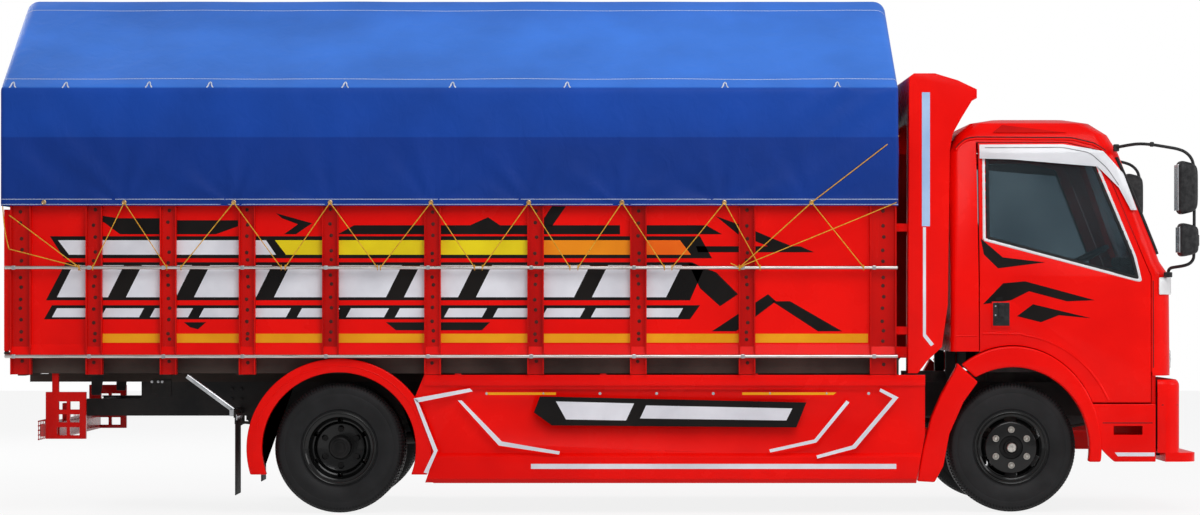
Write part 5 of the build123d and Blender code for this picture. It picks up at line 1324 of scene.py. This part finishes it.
# ---- Dashboard and steering wheel ---------------------------------------------------------
# A moulded grey dashboard with a cowl over the dials and air vents, screwed to the cab's front wall.
# The black steering wheel has a padded boss and two spokes.
dash_grey = finish("dash_grey", (0.035, 0.036, 0.038), (0.070, 0.071, 0.074), 12.0, 0.62, bump=0.5, fine=340)
rolled_edges("dashboard", "dash_panel", "cab", dash_grey, 0.014, 4)
rolled_edges("steering_wheel", "hand_wheel", "cab", moulded_black, 0.004, 2)
box_at((3.255, -0.74, 1.5305), (3.400, -0.38, 1.590), 0.018)
at_rest("dial_cowl", "cab", dash_grey)
vents = []
for y in (-0.80, -0.30, 0.30, 0.80):
    for step in range(4):
        z = 1.452 + step * 0.016
        vents.append(
            box_at(
                (3.178 + (z - 1.42) * 0.8 - 0.006, y - 0.04, z),
                (3.178 + (z - 1.42) * 0.8 + 0.004, y + 0.04, z + 0.006), 0.001,
            )
        )
fitted(vents, "air_vents", "cab", moulded_black)

# ---- Seats --------------------------------------------------------------------------------
# Dark woven cloth sewn over foam, a cushion and a backrest for each place, on painted boxes.
# Two channels are sewn down each pad; the foam swells between them.
seat_weave = finish("seat_weave", (0.030, 0.031, 0.034), (0.075, 0.076, 0.082), 9.0, 0.9, bump=0.8, fine=420)
seat_weave.node_tree.nodes["Principled BSDF"].inputs["Sheen Weight"].default_value = 0.35
SEAT_HALF = 0.243
CUSHION = ((2.304, 1.242), (2.304, 1.318), (2.462, 1.318), (2.950, 1.354), (2.960, 1.278), (2.932, 1.242))
BACKREST = ((2.448, 1.345), (2.322, 1.964), (2.256, 1.970), (2.303, 1.345))


def foam_pad(outline, swell):
    """A pad cut to a side outline, blown up inside its cloth, then drawn down along two sewn channels."""
    pad = sheet_cut(outline, SEAT_HALF, -2 * SEAT_HALF)
    bevelled(pad, 0.024, 3)
    grain = pad.modifiers.new("grain", "REMESH")
    grain.mode = "VOXEL"
    grain.voxel_size = 0.0075
    bpy.ops.object.modifier_apply(modifier=grain.name)
    before = [vertex.co.copy() for vertex in pad.data.vertices]
    cloth = pad.modifiers.new("foam", "CLOTH")
    cloth.settings.use_pressure = True
    cloth.settings.uniform_pressure_force = 4.0
    cloth.settings.quality = 4
    cloth.settings.effector_weights.gravity = 0
    cloth.point_cache.frame_start = 1
    cloth.point_cache.frame_end = 20
    for step in range(1, 21):
        bpy.context.scene.frame_set(step)
    blown = pad.evaluated_get(bpy.context.evaluated_depsgraph_get())
    after = [vertex.co.copy() for vertex in blown.data.vertices]
    pad.modifiers.remove(cloth)
    bpy.context.scene.frame_set(1)
    for vertex, was, now in zip(pad.data.vertices, before, after):
        move = now - was
        if move.length > swell:
            move *= swell / move.length
        vertex.co = was + move
    ease = pad.modifiers.new("ease", "SMOOTH")
    ease.factor = 0.5
    ease.iterations = 5
    bpy.ops.object.modifier_apply(modifier=ease.name)
    for vertex in pad.data.vertices:
        for channel in (-0.105, 0.105):
            away = abs(vertex.co.y - channel)
            if away < 0.018:
                vertex.co -= vertex.normal * 0.008 * (0.5 + 0.5 * math.cos(math.pi * away / 0.018))
    fine = pad.modifiers.new("fine", "SUBSURF")
    fine.levels = fine.render_levels = 1
    bpy.ops.object.modifier_apply(modifier=fine.name)
    bpy.ops.object.shade_smooth()
    return pad


for word, outline in (("seat_cushion_", CUSHION), ("seat_back_", BACKREST)):
    pattern = foam_pad(outline, 0.011)
    for centre, place in ((-0.615, "right"), (0.615, "left")):
        copy = copied(pattern, Matrix.Translation((0, centre, 0)))
        fitted([copy], word + place, "cab", seat_weave)
        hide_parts("seats")
    bpy.data.objects.remove(pattern, do_unlink=True)

# ---- Tyres --------------------------------------------------------------------------------
# Crossply truck tyres: smooth ribbed sidewalls, and a road tread of ribs with notched shoulders.
# One is turned from its profile, its grooves are cut, and it is copied to all six places.
tyre_black = finish("tyre_black", (0.008, 0.008, 0.0085), (0.015, 0.015, 0.016), 7.0, 0.55, bump=0.3, fine=150)
AXLE_Z = 0.402
FRONT_X, REAR_X = 2.560, -1.615
TREAD_STEPS = 240
TYRE_LINE = (
    # radius and distance from the tyre's middle
    (0.2075, -0.0765), (0.2200, -0.0775), (0.2350, -0.0785), (0.2420, -0.0850), (0.2450, -0.0848), (0.2480, -0.0868),
    (0.2700, -0.0955), (0.3000, -0.1030),
    (0.3340, -0.1038), (0.3375, -0.1024), (0.3410, -0.1037), (0.3560, -0.1022), (0.3660, -0.1012),
    (0.3700, -0.1000), (0.3790, -0.0958), (0.3920, -0.0880), (0.3955, -0.0820), (0.4005, -0.0660),
    (0.4015, -0.0480), (0.4015, -0.0440), (0.3910, -0.0435), (0.3910, -0.0365), (0.4015, -0.0360),
    (0.4018, -0.0120), (0.4018, -0.0075), (0.3910, -0.0070),
)


def turned(line, name, steps):
    """A closed outline of radius and width, spun about the wheel's axle line."""
    bpy.ops.mesh.primitive_circle_add(vertices=len(line), radius=1, fill_type="NOTHING")
    hoop = bpy.context.object
    hoop.name = name
    for vertex, (radius, width) in zip(hoop.data.vertices, line):
        vertex.co = (0, width, radius)
    bpy.ops.object.mode_set(mode="EDIT")
    bpy.ops.mesh.select_all(action="SELECT")
    bpy.ops.mesh.spin(steps=steps, angle=2 * math.pi, center=(0, 0, 0), axis=(0, 1, 0), use_auto_merge=True)
    faced_out(0.00002)
    return hoop


def faces_where(piece, wanted):
    """Go into edit mode with only the wanted faces selected."""
    bpy.ops.object.mode_set(mode="EDIT")
    bpy.ops.mesh.select_mode(type="FACE")
    bpy.ops.mesh.select_all(action="DESELECT")
    bpy.ops.object.mode_set(mode="OBJECT")
    for face in piece.data.polygons:
        face.select = wanted(face)
    bpy.ops.object.mode_set(mode="EDIT")


def in_notch(face):
    """Whether a face belongs to every other shoulder block of the tread."""
    centre = face.center
    turn = round(math.degrees(math.atan2(centre.z, centre.x)) / (360 / TREAD_STEPS) - 0.5)
    return 0.371 < math.hypot(centre.x, centre.z) < 0.4012 and abs(centre.y) > 0.050 and turn % 2 == 0


whole = list(TYRE_LINE) + [(radius, -width) for radius, width in reversed(TYRE_LINE)]
whole += [(0.2075, 0.0400), (0.2075, -0.0400)]
tyre_pattern = turned(whole, "tyre_pattern", TREAD_STEPS)
faces_where(tyre_pattern, in_notch)
bpy.ops.mesh.extrude_region_shrink_fatten(TRANSFORM_OT_shrink_fatten={"value": -0.008})
faced_out()


def mounted(pattern, axle_x, outs, side, name, body, look, nodes):
    """Copies of a wheel piece set on an axle line, its open face turned outwards on either side."""
    copies = []
    for out, flip in outs:
        face_out = Matrix.Rotation(math.pi, 4, "Z") if (side > 0) != flip else Matrix.Identity(4)
        copies.append(copied(pattern, Matrix.Translation((axle_x, side * out, AXLE_Z)) @ face_out))
    made = joined(copies, name)
    bpy.ops.object.shade_smooth_by_angle(angle=math.radians(38))
    at_rest(name, body, look)
    for node in nodes:
        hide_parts(node)
    return made


FRONT_OUT, TWIN_OUTS = ((0.840, False),), ((0.942, False), (0.708, True))
WHEEL_SETS = (
    # place on the truck, side, CAD body, axle, each tyre's distance from the middle and whether it is turned about
    ("front", -1, "wheel_front_right", FRONT_X, FRONT_OUT),
    ("front", 1, "wheel_front_left", FRONT_X, FRONT_OUT),
    ("rear_twin", -1, "wheel_rear_right", REAR_X, TWIN_OUTS),
    ("rear_twin", 1, "wheel_rear_left", REAR_X, TWIN_OUTS),
)
for which, side, body, axle_x, outs in WHEEL_SETS:
    word = "right" if side < 0 else "left"
    node = ("front_tyre_" if which == "front" else "rear_twin_tyres_") + word
    mounted(
        tyre_pattern, axle_x, outs, side, which + "_rubber_" + word, body, tyre_black, [node],
    )
bpy.data.objects.remove(tyre_pattern, do_unlink=True)

# ---- Rims and hubs ------------------------------------------------------------------------
# Pressed steel discs welded into rolled rims and enamelled gloss black, with six slots under the rim.
# Bright cup nuts hold the front ones; the rear pair is held back to back by dark nuts in a deep dish.
rim_enamel = finish(
    "rim_enamel", (0.002, 0.002, 0.002), (0.005, 0.005, 0.005), 9.0, 0.22, bump=0.08, fine=160, coat=0.25,
)
nut_bright = finish(
    "nut_bright", (0.42, 0.40, 0.37), (0.66, 0.63, 0.58), 60.0, 0.30, metal=1.0, bump=0.25, fine=300,
)
hub_iron = finish(
    "hub_iron", (0.004, 0.004, 0.004), (0.014, 0.013, 0.013), 18.0, 0.40, metal=0.3, bump=0.3, fine=140,
)
BARREL = (
    (0.1935, -0.0700), (0.2060, -0.0765), (0.2120, -0.0835), (0.2145, -0.0856), (0.2175, -0.0856), (0.2200, -0.0838),
    (0.2235, -0.0868), (0.2280, -0.0872), (0.2298, -0.0845), (0.2285, -0.0808), (0.2200, -0.0800), (0.2052, -0.0780),
    (0.2045, -0.0300), (0.2045, 0.0300), (0.2052, 0.0780), (0.2200, 0.0800), (0.2285, 0.0808), (0.2298, 0.0845),
    (0.2280, 0.0870), (0.2150, 0.0866), (0.2090, 0.0810), (0.1975, 0.0790), (0.1940, 0.0600), (0.1925, 0.0),
    (0.1930, -0.0600),
)
FRONT_DISC = (
    (0.1935, -0.0060), (0.1935, -0.0290), (0.1830, -0.0300), (0.1700, -0.0560), (0.1590, -0.0730), (0.1500, -0.0765),
    (0.0740, -0.0765), (0.0720, -0.0745), (0.0720, -0.0640), (0.1490, -0.0610), (0.1620, -0.0440), (0.1740, -0.0080),
)
REAR_DISH = (
    (0.1935, 0.0220), (0.1935, -0.0010), (0.1860, -0.0030), (0.1720, -0.0060), (0.1640, -0.0020), (0.1590, 0.0200),
    (0.1520, 0.0560), (0.1440, 0.0610), (0.0780, 0.0640), (0.0760, 0.0760), (0.1560, 0.0760), (0.1690, 0.0600),
    (0.1760, 0.0240),
)


def with_slots(disc, radius, width, height, depth, at):
    """Punch six rounded slots through a disc, spaced evenly around it."""
    punches = []
    for turn in range(6):
        angle = math.radians(turn * 60)
        bpy.ops.mesh.primitive_cube_add(size=1, location=(0, at, 0))
        punch = bpy.context.object
        punch.scale = (width, depth, height)
        bpy.ops.object.transform_apply(location=False, rotation=False, scale=True)
        bevelled(punch, height * 0.3, 3)
        punch.data.transform(Matrix.Rotation(angle, 4, "Y") @ Matrix.Translation((0, 0, radius)))
        punches.append(punch)
    tool = joined(punches, "slot_punch")
    picked(disc)
    cut = disc.modifiers.new("slots", "BOOLEAN")
    cut.operation = "DIFFERENCE"
    cut.object = tool
    cut.solver = "EXACT"
    bpy.ops.object.modifier_apply(modifier=cut.name)
    bpy.data.objects.remove(tool, do_unlink=True)
    return disc


front_disc = with_slots(turned(FRONT_DISC, "front_disc", 96), 0.1745, 0.078, 0.032, 0.14, -0.035)
front_barrel = turned(BARREL, "front_barrel", 96)
front_rim_pattern = joined([front_disc, front_barrel], "front_rim_pattern")
rear_dish = with_slots(turned(REAR_DISH, "rear_dish", 96), 0.1720, 0.032, 0.026, 0.14, 0.020)
rear_barrel = turned(BARREL, "rear_barrel", 96)
rear_rim_pattern = joined([rear_dish, rear_barrel], "rear_rim_pattern")

FRONT_HUB = (
    (0.0305, 0.0400), (0.0815, 0.0400), (0.0815, -0.0625), (0.0480, -0.0650), (0.0480, -0.1080), (0.0462, -0.1105),
    (0.0400, -0.1105), (0.0385, -0.1010), (0.0305, -0.1005),
)
FRONT_CAP = (
    (0.0, -0.0990), (0.0295, -0.0990), (0.0295, -0.1150), (0.0255, -0.1195), (0.0100, -0.1215), (0.0, -0.1218),
)
REAR_HUB = (
    (0.0305, 0.0600), (0.0875, 0.0600), (0.0875, -0.0400), (0.0668, -0.0405), (0.0668, -0.1530), (0.0640, -0.1565),
    (0.0520, -0.1590), (0.0500, -0.1540), (0.0310, -0.1535), (0.0310, -0.1685), (0.0, -0.1688), (0.0, -0.0900),
    (0.0305, -0.0900),
)
front_hub_pattern = turned(FRONT_HUB, "front_hub_pattern", 64)
front_cap_pattern = turned(FRONT_CAP, "front_cap_pattern", 48)
rear_hub_pattern = turned(REAR_HUB, "rear_hub_pattern", 64)


def nut_ring(depth, height, radius, name, cup):
    """Six wheel nuts on their circle, each with the end of its stud showing."""
    pieces = []
    for turn in range(6):
        angle = math.radians(30 + turn * 60)
        x, z = 0.111 * math.cos(angle), 0.111 * math.sin(angle)
        if cup:
            shell = rod(24, radius, height, (x, -depth - height / 2, z), FACING_OUT)
            faces_where(shell, lambda face: face.normal.z > 0.9)
            bpy.ops.mesh.inset(thickness=radius * 0.26, depth=0)
            bpy.ops.mesh.inset(thickness=radius * 0.04, depth=-height * 0.45)
            bpy.ops.object.mode_set(mode="OBJECT")
            pieces.append(shell)
        across = radius * (0.60 if cup else 1.0)
        pieces.append(
            rod(6, across, height * 0.9, (x, -depth - height * 0.45, z), (math.pi / 2, turn * 0.4, 0))
        )
        pieces.append(rod(16, radius * 0.42, 0.008, (x, -depth - height * 0.95, z), FACING_OUT))
    made = joined(pieces, name)
    bpy.ops.object.transform_apply(location=True, rotation=True, scale=True)
    return bevelled(made, 0.0012, 1, 30)


front_nut_pattern = nut_ring(0.0755, 0.020, 0.0205, "front_nut_pattern", True)
rear_nut_pattern = nut_ring(0.0520, 0.022, 0.0190, "rear_nut_pattern", False)
for which, side, body, axle_x, outs in WHEEL_SETS:
    word = "right" if side < 0 else "left"
    if which == "front":
        mounted(
            front_rim_pattern, axle_x, outs, side, "front_wheel_rim_" + word, body, rim_enamel,
            ["front_rim_" + word],
        )
        mounted(
            front_hub_pattern, axle_x, outs, side, "front_hub_" + word, body, hub_iron,
            ["front_rim_" + word],
        )
        mounted(
            front_cap_pattern, axle_x, outs, side, "front_hub_cap_" + word, body, nut_bright,
            [],
        )
        mounted(
            front_nut_pattern, axle_x, outs, side, "front_nuts_" + word, body, nut_bright, [],
        )
    else:
        mounted(
            rear_rim_pattern, axle_x, outs, side, "rear_wheel_rims_" + word, body, rim_enamel,
            ["rear_twin_rims_" + word],
        )
        mounted(
            rear_hub_pattern, axle_x, ((0.825, False),), side, "rear_hub_" + word, body, hub_iron,
            ["rear_twin_rims_" + word],
        )
        mounted(
            rear_nut_pattern, axle_x, ((0.825, False),), side, "rear_nuts_" + word, body, hub_iron,
            [],
        )
for pattern in (
    front_rim_pattern, rear_rim_pattern, front_hub_pattern, front_cap_pattern, rear_hub_pattern,
    front_nut_pattern, rear_nut_pattern,
):
    bpy.data.objects.remove(pattern, do_unlink=True)
